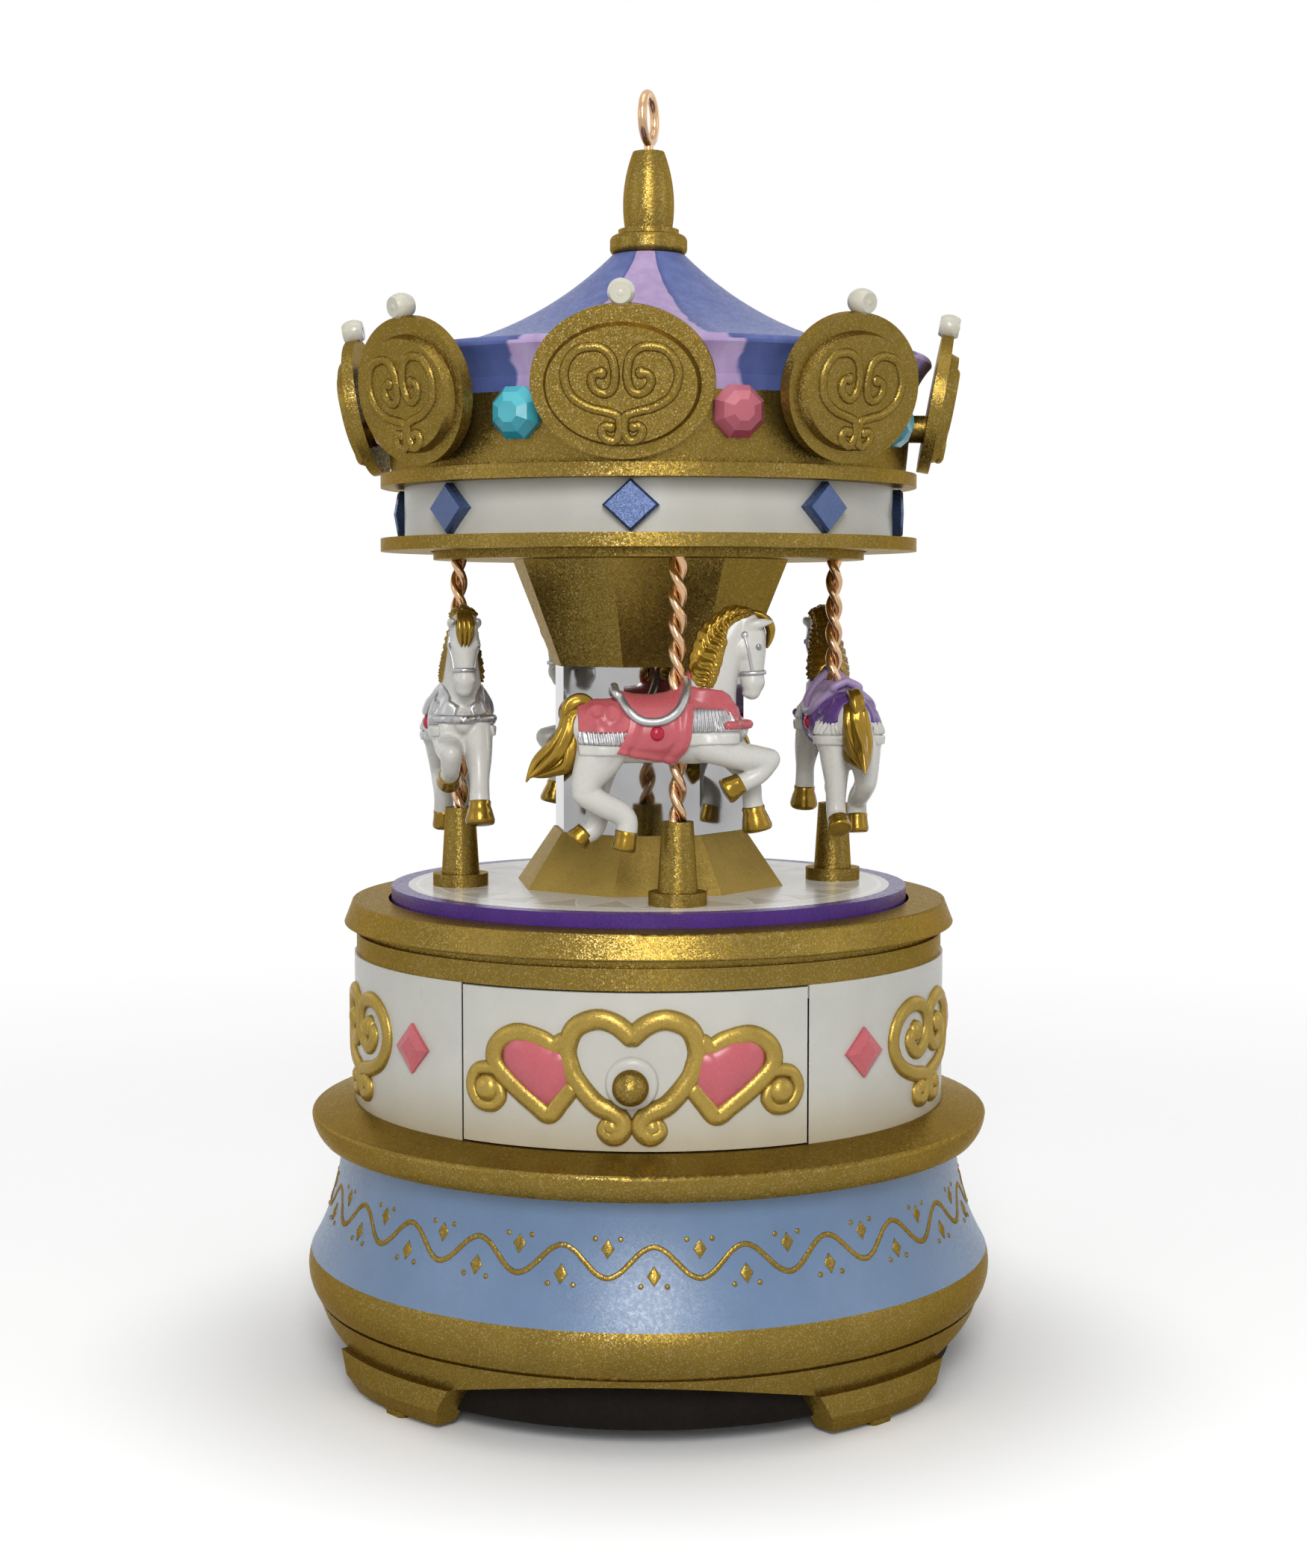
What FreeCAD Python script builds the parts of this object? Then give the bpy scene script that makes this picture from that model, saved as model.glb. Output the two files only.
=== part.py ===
"""Carousel music box: a spring movement in the base turns four horses under a fixed canopy.

Millimetres, +Z up, the origin on the table under the centre post. The drawer faces -Y.
"""
import FreeCAD, Part
import math
import os
import re
import Sketcher

V = FreeCAD.Vector
AXIS_X = V(1, 0, 0)
AXIS_Y = V(0, 1, 0)
AXIS_Z = V(0, 0, 1)
ORIGIN = V(0, 0, 0)

# Counts of repeated features
HORSES = 4
OCTAGON = 8
BAYS = 8
TABLE_TEETH = 30
PINION_TEETH = 10
SHAFT_TEETH = 12
BARREL_TEETH = 36
CROWN_TEETH = 36
CYLINDER_PINION_TEETH = 12
CYLINDER_GEAR_TEETH = 20
GOVERNOR_TEETH = 10
COMB_TEETH = 18
PIN_ROWS = 4
COVER_SCREWS = 3
SPRING_TURNS = 7

# Tooth form: heights in modules, pressure angle in degrees
ADDENDUM = 0.8
DEDENDUM = 1.1
PRESSURE_ANGLE = math.radians(20)

# Driving dimensions, in millimetres and degrees
SIZES = {
    # fits between pieces
    "run_gap": 0.05,
    "side_gap": 0.3,
    "seat_gap": 0.02,
    # feet and plinth
    "pad_height": 0.5,
    "pad_width": 2.6,
    "pad_depth": 2.0,
    "foot_height": 3.35,
    "foot_rise": 0.4,
    "foot_bearing": 46,
    "foot_span": 30,
    "foot_taper": 8,
    "foot_ledge": 0.7,
    "foot_batter": 1.0,
    "plinth_height": 7.55,
    "base_radius": 30.58,
    "base_wall": 1.58,
    "plinth_step": 0.52,
    "plinth_band_height": 3.1,
    "plinth_band_flare": 1.1,
    "plinth_lip": 0.2,
    "plinth_groove": 0.5,
    "plinth_groove_height": 0.35,
    "plinth_bulge": 4.7,
    "cove_flare": 2.32,
    "arch_rise": 2.5,
    "arch_radius": 62,
    "cover_ledge": 2.4,
    "cover_thick": 1.3,
    "cover_recess": 4.15,
    # cove band and lid
    "cove_height": 11.0,
    "cove_waist": 0.68,
    "cove_curve": 21.7,
    "rim_height": 3.55,
    "rim_drop": 1.0,
    "rim_overhang": 2.12,
    "rim_edge": 0.45,
    "rim_tuck": 0.9,
    "rim_curve": 3.5,
    "lid_thick": 1.5,
    # drum, drawer and cornice
    "drum_setback": 2.08,
    "drum_height": 14.1,
    "drum_wall": 1.2,
    "diamond_size": 4.55,
    "diamond_proud": 0.6,
    "diamond_rise": 0.45,
    "drawer_width": 30.6,
    "drawer_gap": 0.15,
    "drawer_front_depth": 6.0,
    "tray_inset": 2.3,
    "tray_length": 21.5,
    "tray_headroom": 1.95,
    "tray_wall": 1.0,
    "guide_width": 1.0,
    "guide_height": 3.0,
    "guide_length": 19.0,
    "knob_radius": 1.58,
    "knob_drop": 0.9,
    "knob_stem": 0.8,
    "knob_reach": 2.2,
    "boss_radius": 2.3,
    "boss_proud": 0.8,
    "heart_size": 5.3,
    "heart_proud": 0.8,
    "heart_bearing": 17.0,
    "heart_rise": -0.4,
    "heart_tilt": 16,
    "deck_thick": 1.45,
    "cornice_height": 5.01,
    "cornice_inset": 0.2,
    "cornice_width": 3.38,
    "cornice_foot": 1.95,
    "cornice_groove": 0.5,
    "cornice_groove_height": 0.75,
    "flange_overhang": 1.15,
    "flange_edge": 0.2,
    "flange_batter": 0.75,
    # turntable and column
    "rest_angle": 11.1,
    "turntable_rise": 1.25,
    "turntable_thick": 1.6,
    "turntable_rim_width": 1.6,
    "post_radius": 2.0,
    "post_flange_radius": 5.0,
    "post_flange_thick": 1.0,
    "bush_wall": 1.0,
    "table_gear_thick": 1.5,
    "table_hub_radius": 7.0,
    "skirt_height": 5.3,
    "skirt_flare": 3.7,
    "trim_lip": 0.2,
    "panel_height": 15.8,
    "panel_radius": 9.4,
    "panel_thick": 0.4,
    "core_wall": 1.6,
    "funnel_height": 10.1,
    "funnel_flare": 4.1,
    "ceiling_overhang": 2.4,
    "ceiling_thick": 1.5,
    # poles and horses
    "pole_inset": 5.02,
    "socket_flange_radius": 2.65,
    "socket_flange_thick": 1.2,
    "socket_height": 7.53,
    "socket_radius": 1.82,
    "socket_top_radius": 1.43,
    "socket_depth": 4.0,
    "wire_radius": 0.41,
    "wire_gap": 0.02,
    "twist_pitch": 5.0,
    "saddle_height": 19.3,
    # canopy
    "canopy_lift": 0.78,
    "canopy_overhang": 2.3,
    "canopy_ring_height": 1.22,
    "canopy_plate": 1.2,
    "fascia_offset": 2.7,
    "fascia_height": 4.8,
    "fascia_wall": 1.8,
    "tile_width": 5.0,
    "tile_height": 4.6,
    "tile_proud": 1.0,
    "upper_overhang": 2.26,
    "upper_ring_height": 1.23,
    "fascia_turn": -0.8,
    "crown_turn": -1.7,
    "crown_height": 6.27,
    "crown_step": 1.2,
    "crown_flare": 0.6,
    "crown_wall": 1.8,
    "medallion_width": 15.8,
    "medallion_height": 13.1,
    "medallion_thick": 1.1,
    "medallion_tilt": 10.2,
    "medallion_offset": 2.2,
    "medallion_level": 6.77,
    "boss_oval_width": 13.5,
    "boss_oval_height": 10.5,
    "boss_oval_drop": 0.25,
    "boss_oval_thick": 0.85,
    "boss_oval_bevel": 0.3,
    "peg_radius": 1.3,
    "pearl_radius": 1.18,
    "pearl_length": 1.9,
    "pearl_hole": 0.3,
    "pearl_seat": 0.3,
    "pearl_cup_radius": 0.5,
    "gem_radius": 2.45,
    "gem_proud": 1.8,
    "gem_girdle": 0.5,
    "gem_level": 4.37,
    "valance_height": 1.3,
    "valance_flare": 0.2,
    "eave_height": 3.9,
    "eave_overhang": 1.6,
    "eave_edge": 0.7,
    "eave_setback": 1.0,
    "roof_rise": 14.7,
    "roof_curve": 35.0,
    "roof_wall": 1.3,
    "roof_top_radius": 3.5,
    # finial and eyelet
    "collar_lip": 0.2,
    "collar_edge": 0.6,
    "collar_height": 1.9,
    "collar_step": 0.5,
    "collar_step_width": 0.65,
    "finial_wall": 0.25,
    "finial_height": 9.75,
    "finial_curve": 14.0,
    "finial_top_radius": 1.5,
    "finial_bore_depth": 3.5,
    "eyelet_ring_radius": 2.25,
    "eyelet_wire_radius": 0.45,
    "eyelet_neck": 0.45,
    "eyelet_root": 3.0,
    "eyelet_turn": 77.8,
    # movement
    "drive_module": 0.8,
    "barrel_module": 0.6,
    "crown_inset": 0.1,
    "governor_module": 0.4,
    "backlash": 0.1,
    "bedplate_thick": 1.0,
    "bedplate_gap": 0.6,
    "shaft_radius": 1.0,
    "shaft_bush_wall": 1.0,
    "pinion_thick": 1.9,
    "shaft_gear_thick": 1.9,
    "barrel_bearing": 36.87,
    "barrel_inset": 0.24,
    "barrel_height": 5.5,
    "barrel_wall": 0.8,
    "barrel_gear_thick": 1.5,
    "barrel_gear_level": 2.2,
    "crown_width": 1.6,
    "arbor_radius": 1.2,
    "spring_thick": 0.2,
    "key_hub_radius": 2.0,
    "key_hub_height": 4.5,
    "key_drop": 2.2,
    "key_wing_radius": 3.0,
    "key_wing_thick": 1.2,
    "cylinder_radius": 4.0,
    "cylinder_shaft_radius": 0.8,
    "pin_radius": 0.12,
    "pin_length": 0.35,
    "pin_root": 0.4,
    "bracket_thick": 0.8,
    "bracket_width": 3.2,
    "bracket_margin": 0.3,
    "cylinder_gear_thick": 1.0,
    "governor_shaft_radius": 0.5,
    "fan_radius": 2.9,
    "fan_length": 2.8,
    "fan_thick": 0.3,
    "comb_gap": 0.15,
    "comb_thick": 0.6,
    "comb_tooth_length": 6.0,
    "comb_slot": 0.15,
    "comb_heel": 4.0,
    "screw_radius": 0.5,
    "screw_head_radius": 0.9,
    "screw_head_height": 0.6,
    "screw_length": 2.6,
}

# Levels and places that follow from the driving dimensions
FORMULAS = {
    "base_bore": "base_radius - base_wall",
    "plinth_radius": "base_radius + plinth_step",
    "plinth_top_radius": "base_radius + cove_flare",
    "rim_radius": "base_radius + rim_overhang",
    "bedplate_radius": "base_bore - cover_ledge - bedplate_gap",
    "drum_radius": "base_radius - drum_setback",
    "cornice_radius": "drum_radius - cornice_inset",
    "flange_radius": "cornice_radius + flange_overhang",
    "turntable_radius": "cornice_radius - cornice_width",
    "tray_width": "drawer_width - 2 * tray_inset",
    "tray_height": "drum_height - deck_thick - 2 * drawer_gap - tray_headroom",
    "plinth_bottom": "pad_height + foot_height",
    "cover_bottom": "plinth_bottom + cover_recess",
    "cover_top": "cover_bottom + cover_thick",
    "bedplate_top": "cover_top + bedplate_thick",
    "cove_bottom": "plinth_bottom + plinth_height",
    "lid_bottom": "cove_bottom + cove_height",
    "lid_top": "lid_bottom + rim_height",
    "drum_bore": "drum_radius - drum_wall",
    "cornice_bottom": "lid_top + drum_height",
    "cornice_top": "cornice_bottom + cornice_height",
    "cornice_bore": "turntable_radius + side_gap",
    "turntable_top": "cornice_top + turntable_rise",
    "turntable_bottom": "turntable_top - turntable_thick",
    "floor_radius": "turntable_radius - turntable_rim_width",
    "pole_circle": "floor_radius - pole_inset",
    "ceiling_radius": "pole_circle + ceiling_overhang",
    "skirt_top_radius": "panel_radius + trim_lip",
    "skirt_radius": "skirt_top_radius + skirt_flare",
    "funnel_radius": "skirt_top_radius + funnel_flare",
    "fascia_radius": "ceiling_radius + fascia_offset",
    "canopy_radius": "fascia_radius + canopy_overhang",
    "upper_ring_radius": "fascia_radius + upper_overhang",
    "crown_radius": "fascia_radius + crown_step",
    "crown_top_radius": "crown_radius + crown_flare",
    "medallion_reach": "crown_radius + medallion_offset",
    "valance_radius": "crown_top_radius + valance_flare",
    "eave_radius": "valance_radius + eave_overhang",
    "eave_top_radius": "eave_radius - eave_setback",
    "collar_radius": "roof_top_radius + collar_lip",
    "finial_neck_radius": "post_radius + finial_wall",
    "collar_step_radius": "finial_neck_radius + collar_step_width",
    "bush_radius": "post_radius + run_gap + bush_wall",
    "table_gear_bottom": "cornice_bottom + post_flange_thick + run_gap",
    "panel_bottom": "turntable_top + skirt_height",
    "panel_top": "panel_bottom + panel_height",
    "ceiling_bottom": "panel_top + funnel_height",
    "ceiling_top": "ceiling_bottom + ceiling_thick",
    "canopy_bottom": "ceiling_bottom + canopy_lift",
    "fascia_bottom": "canopy_bottom + canopy_ring_height",
    "fascia_bore": "fascia_radius - fascia_wall",
    "plate_bottom": "ceiling_top + side_gap",
    "upper_ring_bottom": "fascia_bottom + fascia_height",
    "crown_bottom": "upper_ring_bottom + upper_ring_height",
    "roof_bottom": "crown_bottom + crown_height",
    "roof_top": "roof_bottom + roof_rise",
    "post_top": "roof_top + finial_bore_depth",
    "finial_top": "roof_top + finial_height",
    "eyelet_level": "finial_top + eyelet_neck + eyelet_wire_radius + eyelet_ring_radius",
    "pole_radius": "2 * wire_radius + wire_gap / 2",
    "pole_bottom": "turntable_top + socket_height - socket_depth",
    "shaft_y": f"drive_module * {TABLE_TEETH + PINION_TEETH} / 2",
    "shaft_bush_radius": "shaft_radius + run_gap + shaft_bush_wall",
    "barrel_reach": f"barrel_module * {SHAFT_TEETH + BARREL_TEETH} / 2",
    "barrel_x": "-barrel_reach * cos(barrel_bearing)",
    "barrel_y": "shaft_y - barrel_reach * sin(barrel_bearing)",
    "barrel_bottom": "bedplate_top + side_gap",
    "barrel_top": "barrel_bottom + barrel_height",
    "barrel_gear_bottom": "barrel_bottom + barrel_gear_level",
    "barrel_radius": f"barrel_module * {BARREL_TEETH / 2 - DEDENDUM} - barrel_inset",
    "crown_radius_pitch": "barrel_radius - crown_width / 2 - crown_inset",
    "crown_module": f"2 * crown_radius_pitch / {CROWN_TEETH}",
    "crown_dedendum": f"{DEDENDUM} * crown_module",
    "cylinder_level": f"barrel_top + crown_dedendum + crown_module * {CYLINDER_PINION_TEETH} / 2",
    "barrel_gear_radius": f"barrel_module * {BARREL_TEETH / 2 + ADDENDUM}",
    "cylinder_start": "barrel_x + barrel_gear_radius + bracket_thick + 2 * side_gap",
    "governor_y": f"barrel_y + governor_module * {CYLINDER_GEAR_TEETH + GOVERNOR_TEETH} / 2",
    "movement_reach": "sqrt(bedplate_radius ^ 2 - (governor_y + bracket_width / 2) ^ 2) - bracket_margin",
    "cylinder_end": "movement_reach - cylinder_gear_thick - fan_length - 2 * bracket_thick - 3 * side_gap",
    "cylinder_length": "cylinder_end - cylinder_start",
    "screw_circle": "base_bore - cover_ledge / 2",
}

doc = FreeCAD.newDocument("carousel_music_box")
sheet = doc.addObject("Spreadsheet::Sheet", "Sizes")
for row, (alias, content) in enumerate({**SIZES, **FORMULAS}.items(), start=1):
    text = "=" + content if isinstance(content, str) else str(content)
    sheet.set(f"A{row}", alias)
    sheet.set(f"B{row}", text)
    sheet.setAlias(f"B{row}", alias)
doc.recompute()

pieces = []


def size(formula):
    """The value of a formula over the sheet's names."""
    return float(sheet.evalExpression(formula))


def bound(formula):
    """The same formula, as an expression that another object can hold."""
    def with_sheet(word):
        return f"Sizes.{word[0]}" if word[0] in SIZES or word[0] in FORMULAS else word[0]

    return re.sub(r"[a-z_]\w*", with_sheet, formula)


def bind(obj, **properties):
    """Ties properties to the sheet. A double underscore stands for a dot."""
    for name, formula in properties.items():
        obj.setExpression(name.replace("__", "."), bound(formula))
    return obj


def piece(obj, label):
    """Names an object as one of the pieces that are written out."""
    obj.Label = label
    pieces.append(obj)
    return obj


def feature(label, shape):
    obj = doc.addObject("Part::Feature", label)
    obj.Shape = shape
    return piece(obj, label)


def turned(label, outline):
    """A body turned about +Z from an outline of (radius, height) formulas, listed counter-clockwise.

    Two more entries make the stretch that ends there an arc: its radius, and +1 where it bulges
    outwards or -1 where it is hollow.
    """
    body = doc.addObject("PartDesign::Body", label)
    plane = [item for item in body.Origin.OriginFeatures if item.Role == "XZ_Plane"][0]
    sketch = body.newObject("Sketcher::SketchObject", label + "_outline")
    sketch.AttachmentSupport = [(plane, "")]
    sketch.MapMode = "FlatFace"
    corners = [V(size(entry[0]), size(entry[1]), 0) for entry in outline]
    ends = []
    for index, entry in enumerate(outline):
        start = corners[index - 1]
        end = corners[index]
        if len(entry) == 2:
            sketch.addGeometry(Part.LineSegment(start, end), False)
            ends.append((1, 2))
            continue
        radius = size(entry[2])
        chord = end - start
        depth = math.sqrt(radius ** 2 - chord.Length ** 2 / 4)
        left = V(-chord.y, chord.x, 0).normalize()
        centre = (start + end) * 0.5 + left * depth * entry[3]
        first, last = (start, end) if entry[3] > 0 else (end, start)
        angles = [math.atan2(point.y - centre.y, point.x - centre.x) for point in (first, last)]
        sketch.addGeometry(Part.ArcOfCircle(Part.Circle(centre, AXIS_Z, radius), *angles), False)
        ends.append((1, 2) if entry[3] > 0 else (2, 1))
    for index, entry in enumerate(outline):
        following = (index + 1) % len(outline)
        spot = (index, ends[index][1])
        sketch.addConstraint(Sketcher.Constraint("Coincident", *spot, following, ends[following][0]))
        if entry[0] == "0":
            sketch.addConstraint(Sketcher.Constraint("PointOnObject", *spot, -2))
        else:
            hold(sketch, Sketcher.Constraint("DistanceX", -1, 1, *spot, corners[index].x), entry[0])
        hold(sketch, Sketcher.Constraint("DistanceY", -1, 1, *spot, corners[index].y), entry[1])
        if len(entry) > 2:
            hold(sketch, Sketcher.Constraint("Radius", index, size(entry[2])), entry[2])
    revolution = body.newObject("PartDesign::Revolution", label + "_turned")
    revolution.Profile = sketch
    revolution.ReferenceAxis = (sketch, ["V_Axis"])
    revolution.Angle = 360
    doc.recompute()
    return body


def hold(sketch, constraint, formula):
    number = sketch.addConstraint(constraint)
    sketch.setExpression(f"Constraints[{number}]", bound(formula))


def cylinder(label, radius, height, place=("0", "0", "0"), along=AXIS_Z):
    obj = doc.addObject("Part::Cylinder", label)
    obj.Placement = FreeCAD.Placement(ORIGIN, FreeCAD.Rotation(AXIS_Z, along))
    bind(obj, Radius=radius, Height=height)
    return at(obj, place)


def box(label, length, width, height, place):
    obj = doc.addObject("Part::Box", label)
    bind(obj, Length=length, Width=width, Height=height)
    return at(obj, place)


def at(obj, place):
    return bind(obj, Placement__Base__x=place[0], Placement__Base__y=place[1], Placement__Base__z=place[2])


def fuse(label, parts):
    obj = doc.addObject("Part::MultiFuse", label)
    obj.Shapes = parts
    doc.recompute()
    return obj


def cut(label, base, tools):
    obj = doc.addObject("Part::Cut", label)
    obj.Base = base
    obj.Tool = tools[0] if len(tools) == 1 else fuse(label + "_tools", tools)
    doc.recompute()
    return obj


def common(label, first, second):
    obj = doc.addObject("Part::MultiCommon", label)
    obj.Shapes = [first, second]
    doc.recompute()
    return obj


def group(label, parts):
    obj = doc.addObject("Part::Compound", label)
    obj.Links = parts
    doc.recompute()
    return obj


def around(shape, bearings):
    """Copies of a shape made at the front, turned to each bearing about the centre post."""
    copies = []
    for bearing in bearings:
        copy = shape.copy()
        copy.rotate(ORIGIN, AXIS_Z, bearing)
        copies.append(copy)
    return Part.makeCompound(copies)


def outward(shape, radius, level, tilt=0.0):
    """Stands a shape drawn in XY up at the front, its Z pointing out and its top leaning out by tilt."""
    shape.Placement = FreeCAD.Placement(V(0, -radius, level), FreeCAD.Rotation(AXIS_X, 90 + tilt))
    return shape


def polygon(points):
    return Part.makePolygon(points + [points[0]])


def rhombus(width, height, level):
    half_width = width / 2
    half_height = height / 2
    return polygon([V(half_width, 0, level), V(0, half_height, level),
                    V(-half_width, 0, level), V(0, -half_height, level)])


def regular(radius, sides, level, turn=0.0):
    """A regular polygon with a flat side at the front when turn is 0."""
    step = 2 * math.pi / sides
    angles = [math.radians(turn - 90) + step * (number + 0.5) for number in range(sides)]
    return polygon([V(radius * math.cos(a), radius * math.sin(a), level) for a in angles])


def faceted(wires):
    """A closed solid with flat facets between outlines."""
    return Part.makeLoft(wires, True, True)


def prism(points, height):
    return Part.Face(polygon(points)).extrude(V(0, 0, height))


def rod(radius, start, end):
    return Part.makeCylinder(radius, (end - start).Length, start, end - start)


def gear(teeth, module, thick, bore, turn):
    """An involute spur gear on +Z with a tooth centred at the bearing turn from +X."""
    pitch = module * teeth / 2
    base = pitch * math.cos(PRESSURE_ANGLE)
    tip = pitch + ADDENDUM * module
    root = pitch - DEDENDUM * module
    half = (math.pi * module / 2 - size("backlash")) / 2 / pitch

    def involute(radius):
        angle = math.acos(min(1.0, base / radius))
        return math.tan(angle) - angle

    steps = [root, max(root, base), pitch, (pitch + tip) / 2, tip]
    flank = [(radius, half + involute(pitch) - involute(radius)) for radius in steps]
    outline = [(radius, -spread) for radius, spread in flank]
    outline += flank[::-1]
    points = []
    for number in range(teeth):
        middle = math.radians(turn) + 2 * math.pi * number / teeth
        points += [V(r * math.cos(middle + a), r * math.sin(middle + a), 0) for r, a in outline]
    return prism(points, thick).cut(Part.makeCylinder(bore, thick))


# Base: plinth with feet, cove band, lid

foot_radius = size("plinth_radius + foot_ledge - foot_batter")
foot_inner = foot_radius - size("pad_depth")


def make_feet():
    """Four bracket feet, wider at the top, each under a corner of the plinth."""
    top = size("plinth_bottom + foot_rise")
    outer = size("plinth_radius + foot_ledge")
    outline = [V(foot_inner, 0, size("pad_height")), V(foot_radius, 0, size("pad_height")),
               V(outer, 0, size("pad_height + foot_height / 2")), V(outer, 0, top), V(foot_inner, 0, top)]
    ring = Part.Face(polygon(outline)).revolve(ORIGIN, AXIS_Z, 360)
    half_top = outer * math.sin(math.radians(size("foot_span / 2")))
    half_bottom = half_top - outer * math.sin(math.radians(size("foot_taper / 2")))
    front = polygon([V(-half_bottom, 0, size("pad_height")), V(half_bottom, 0, size("pad_height")),
                     V(half_top, 0, top), V(-half_top, 0, top)])
    return around(ring.common(Part.Face(front).extrude(V(0, -2 * outer, 0))), corner_bearings)


def make_foot_pads():
    pad = Part.makeBox(size("pad_width"), size("pad_depth"), size("pad_height"))
    uprights = [edge for edge in pad.Edges if edge.BoundBox.ZLength > size("pad_height") / 2]
    pad = pad.makeFillet(min(size("pad_width"), size("pad_depth")) / 4, uprights)
    pad.translate(V(-size("pad_width") / 2, -foot_radius + size("seat_gap"), 0))
    return around(pad, corner_bearings)


corner = size("foot_bearing")
corner_bearings = [corner, 180 - corner, 180 + corner, 360 - corner]
band_radius = "plinth_radius + plinth_band_flare"
groove_top = "plinth_bottom + plinth_band_height + plinth_groove_height"
plinth_ring = turned("plinth_ring", [
    ("base_bore", "plinth_bottom"),
    ("plinth_radius", "plinth_bottom"),
    (band_radius, "plinth_bottom + plinth_band_height"),
    (f"{band_radius} - plinth_groove", "plinth_bottom + plinth_band_height"),
    (f"{band_radius} - plinth_groove", groove_top),
    (f"{band_radius} + plinth_lip", groove_top),
    ("plinth_top_radius", "cove_bottom", "plinth_bulge", 1),
    ("base_bore - cover_ledge", "cove_bottom"),
    ("base_bore - cover_ledge", "cover_top"),
    ("base_bore", "cover_top"),
])
arch_level = "plinth_bottom + arch_rise - arch_radius"
arch_start = "-2 * plinth_radius"
arch_length = "4 * plinth_radius"
arches = [
    cylinder("front_arch", "arch_radius", arch_length, ("0", arch_start, arch_level), AXIS_Y),
    cylinder("side_arch", "arch_radius", arch_length, (arch_start, "0", arch_level), AXIS_X),
]
feet = doc.addObject("Part::Feature", "feet")
feet.Shape = make_feet()
piece(fuse("plinth_body", [cut("plinth_arched", plinth_ring, arches), feet]), "plinth")
feature("foot_pads", make_foot_pads())

piece(turned("cove", [
    ("base_bore", "cove_bottom"),
    ("plinth_top_radius", "cove_bottom"),
    ("base_radius - cove_waist", "lid_bottom", "cove_curve", -1),
    ("base_bore", "lid_bottom"),
]), "cove_band")

lid_body = turned("lid", [
    ("base_bore", "lid_bottom"),
    ("rim_radius - rim_tuck", "lid_bottom"),
    ("rim_radius", "lid_top - rim_drop - rim_edge", "rim_curve", 1),
    ("rim_radius - rim_edge", "lid_top - rim_drop", "rim_edge", 1),
    ("drum_radius + side_gap", "lid_top"),
    ("0", "lid_top"),
    ("0", "lid_top - lid_thick"),
    ("base_bore", "lid_top - lid_thick"),
])
lid_hole = cylinder("lid_hole", "shaft_radius + side_gap", "4 * lid_thick",
                    ("0", "shaft_y", "lid_top - 2 * lid_thick"))
piece(cut("lid_drilled", lid_body, [lid_hole]), "base_lid")

# Bottom cover with its screws

screw_bearings = [360 / COVER_SCREWS * (number + 0.5) for number in range(COVER_SCREWS)]


def make_cover_screws():
    place = V(0, -size("screw_circle"), size("cover_bottom"))
    head = rod(size("screw_head_radius"), place - V(0, 0, size("screw_head_height")), place)
    shank = rod(size("screw_radius"), place, place + V(0, 0, size("screw_length")))
    return around(head.fuse(shank).removeSplitter(), screw_bearings)


cover_screws = feature("cover_screws", make_cover_screws())
cover_disc = cylinder("cover_disc", "base_bore - run_gap", "cover_thick", ("0", "0", "cover_bottom"))
arbor_hole = cylinder("arbor_hole", "arbor_radius + run_gap", "barrel_bottom - cover_bottom + cover_thick",
                      ("barrel_x", "barrel_y", "cover_bottom - cover_thick"))
piece(cut("cover_drilled", cover_disc, [arbor_hole, cover_screws]), "bottom_cover")

# Drum, drawer and cornice

drum_ring = turned("drum_ring", [
    ("drum_bore", "lid_top"),
    ("drum_radius", "lid_top"),
    ("drum_radius", "cornice_bottom"),
    ("drum_bore", "cornice_bottom"),
])
drawer_opening = box("drawer_opening", "drawer_width", "2 * drum_radius", "2 * drum_height",
                     ("-drawer_width / 2", "-2 * drum_radius", "lid_top - drum_height / 2"))
piece(cut("drum_opened", drum_ring, [drawer_opening]), "drum_shell")
drum_solid = Part.makeCylinder(size("drum_radius"), size("cornice_bottom"))


def make_drum_diamonds():
    width = size("diamond_size")
    proud = size("diamond_proud")
    table = width / 2
    outlines = [(width, -table), (width, proud / 2), (table, proud)]
    stone = faceted([rhombus(across, across, level) for across, level in outlines])
    stone = outward(stone, size("drum_radius"), size("lid_top + drum_height / 2 + diamond_rise"))
    return around(stone.cut(drum_solid), [360 / BAYS * number for number in range(1, BAYS)])


feature("drum_diamonds", make_drum_diamonds())

drawer_back = "drawer_front_depth - drum_radius"
drawer_floor = "lid_top + drawer_gap"
drawer_block = box("drawer_block", "drawer_width - 2 * drawer_gap", "2 * drawer_front_depth",
                   "drum_height - 2 * drawer_gap",
                   ("drawer_gap - drawer_width / 2", "-drum_radius - drawer_front_depth", drawer_floor))
drawer_round = cylinder("drawer_round", "drum_radius", "2 * drum_height",
                        ("0", "0", "lid_top - drum_height / 2"))
piece(common("drawer_face", drawer_block, drawer_round), "drawer_front")

tray_outer = box("tray_outer", "tray_width", "tray_length", "tray_height",
                 ("-tray_width / 2", drawer_back, drawer_floor))
tray_inner = box("tray_inner", "tray_width - 2 * tray_wall", "tray_length - 2 * tray_wall", "tray_height",
                 ("tray_wall - tray_width / 2", f"{drawer_back} + tray_wall", f"{drawer_floor} + tray_wall"))
piece(cut("tray", tray_outer, [tray_inner]), "drawer_tray")

guide_edges = {
    "right_guide": "tray_width / 2 + side_gap",
    "left_guide": "-tray_width / 2 - side_gap - guide_width",
}
guides = [
    box(label, "guide_width", "guide_length", "guide_height", (edge, f"{drawer_back} + tray_wall", "lid_top"))
    for label, edge in guide_edges.items()
]
piece(group("guides", guides), "drawer_guides")

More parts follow.
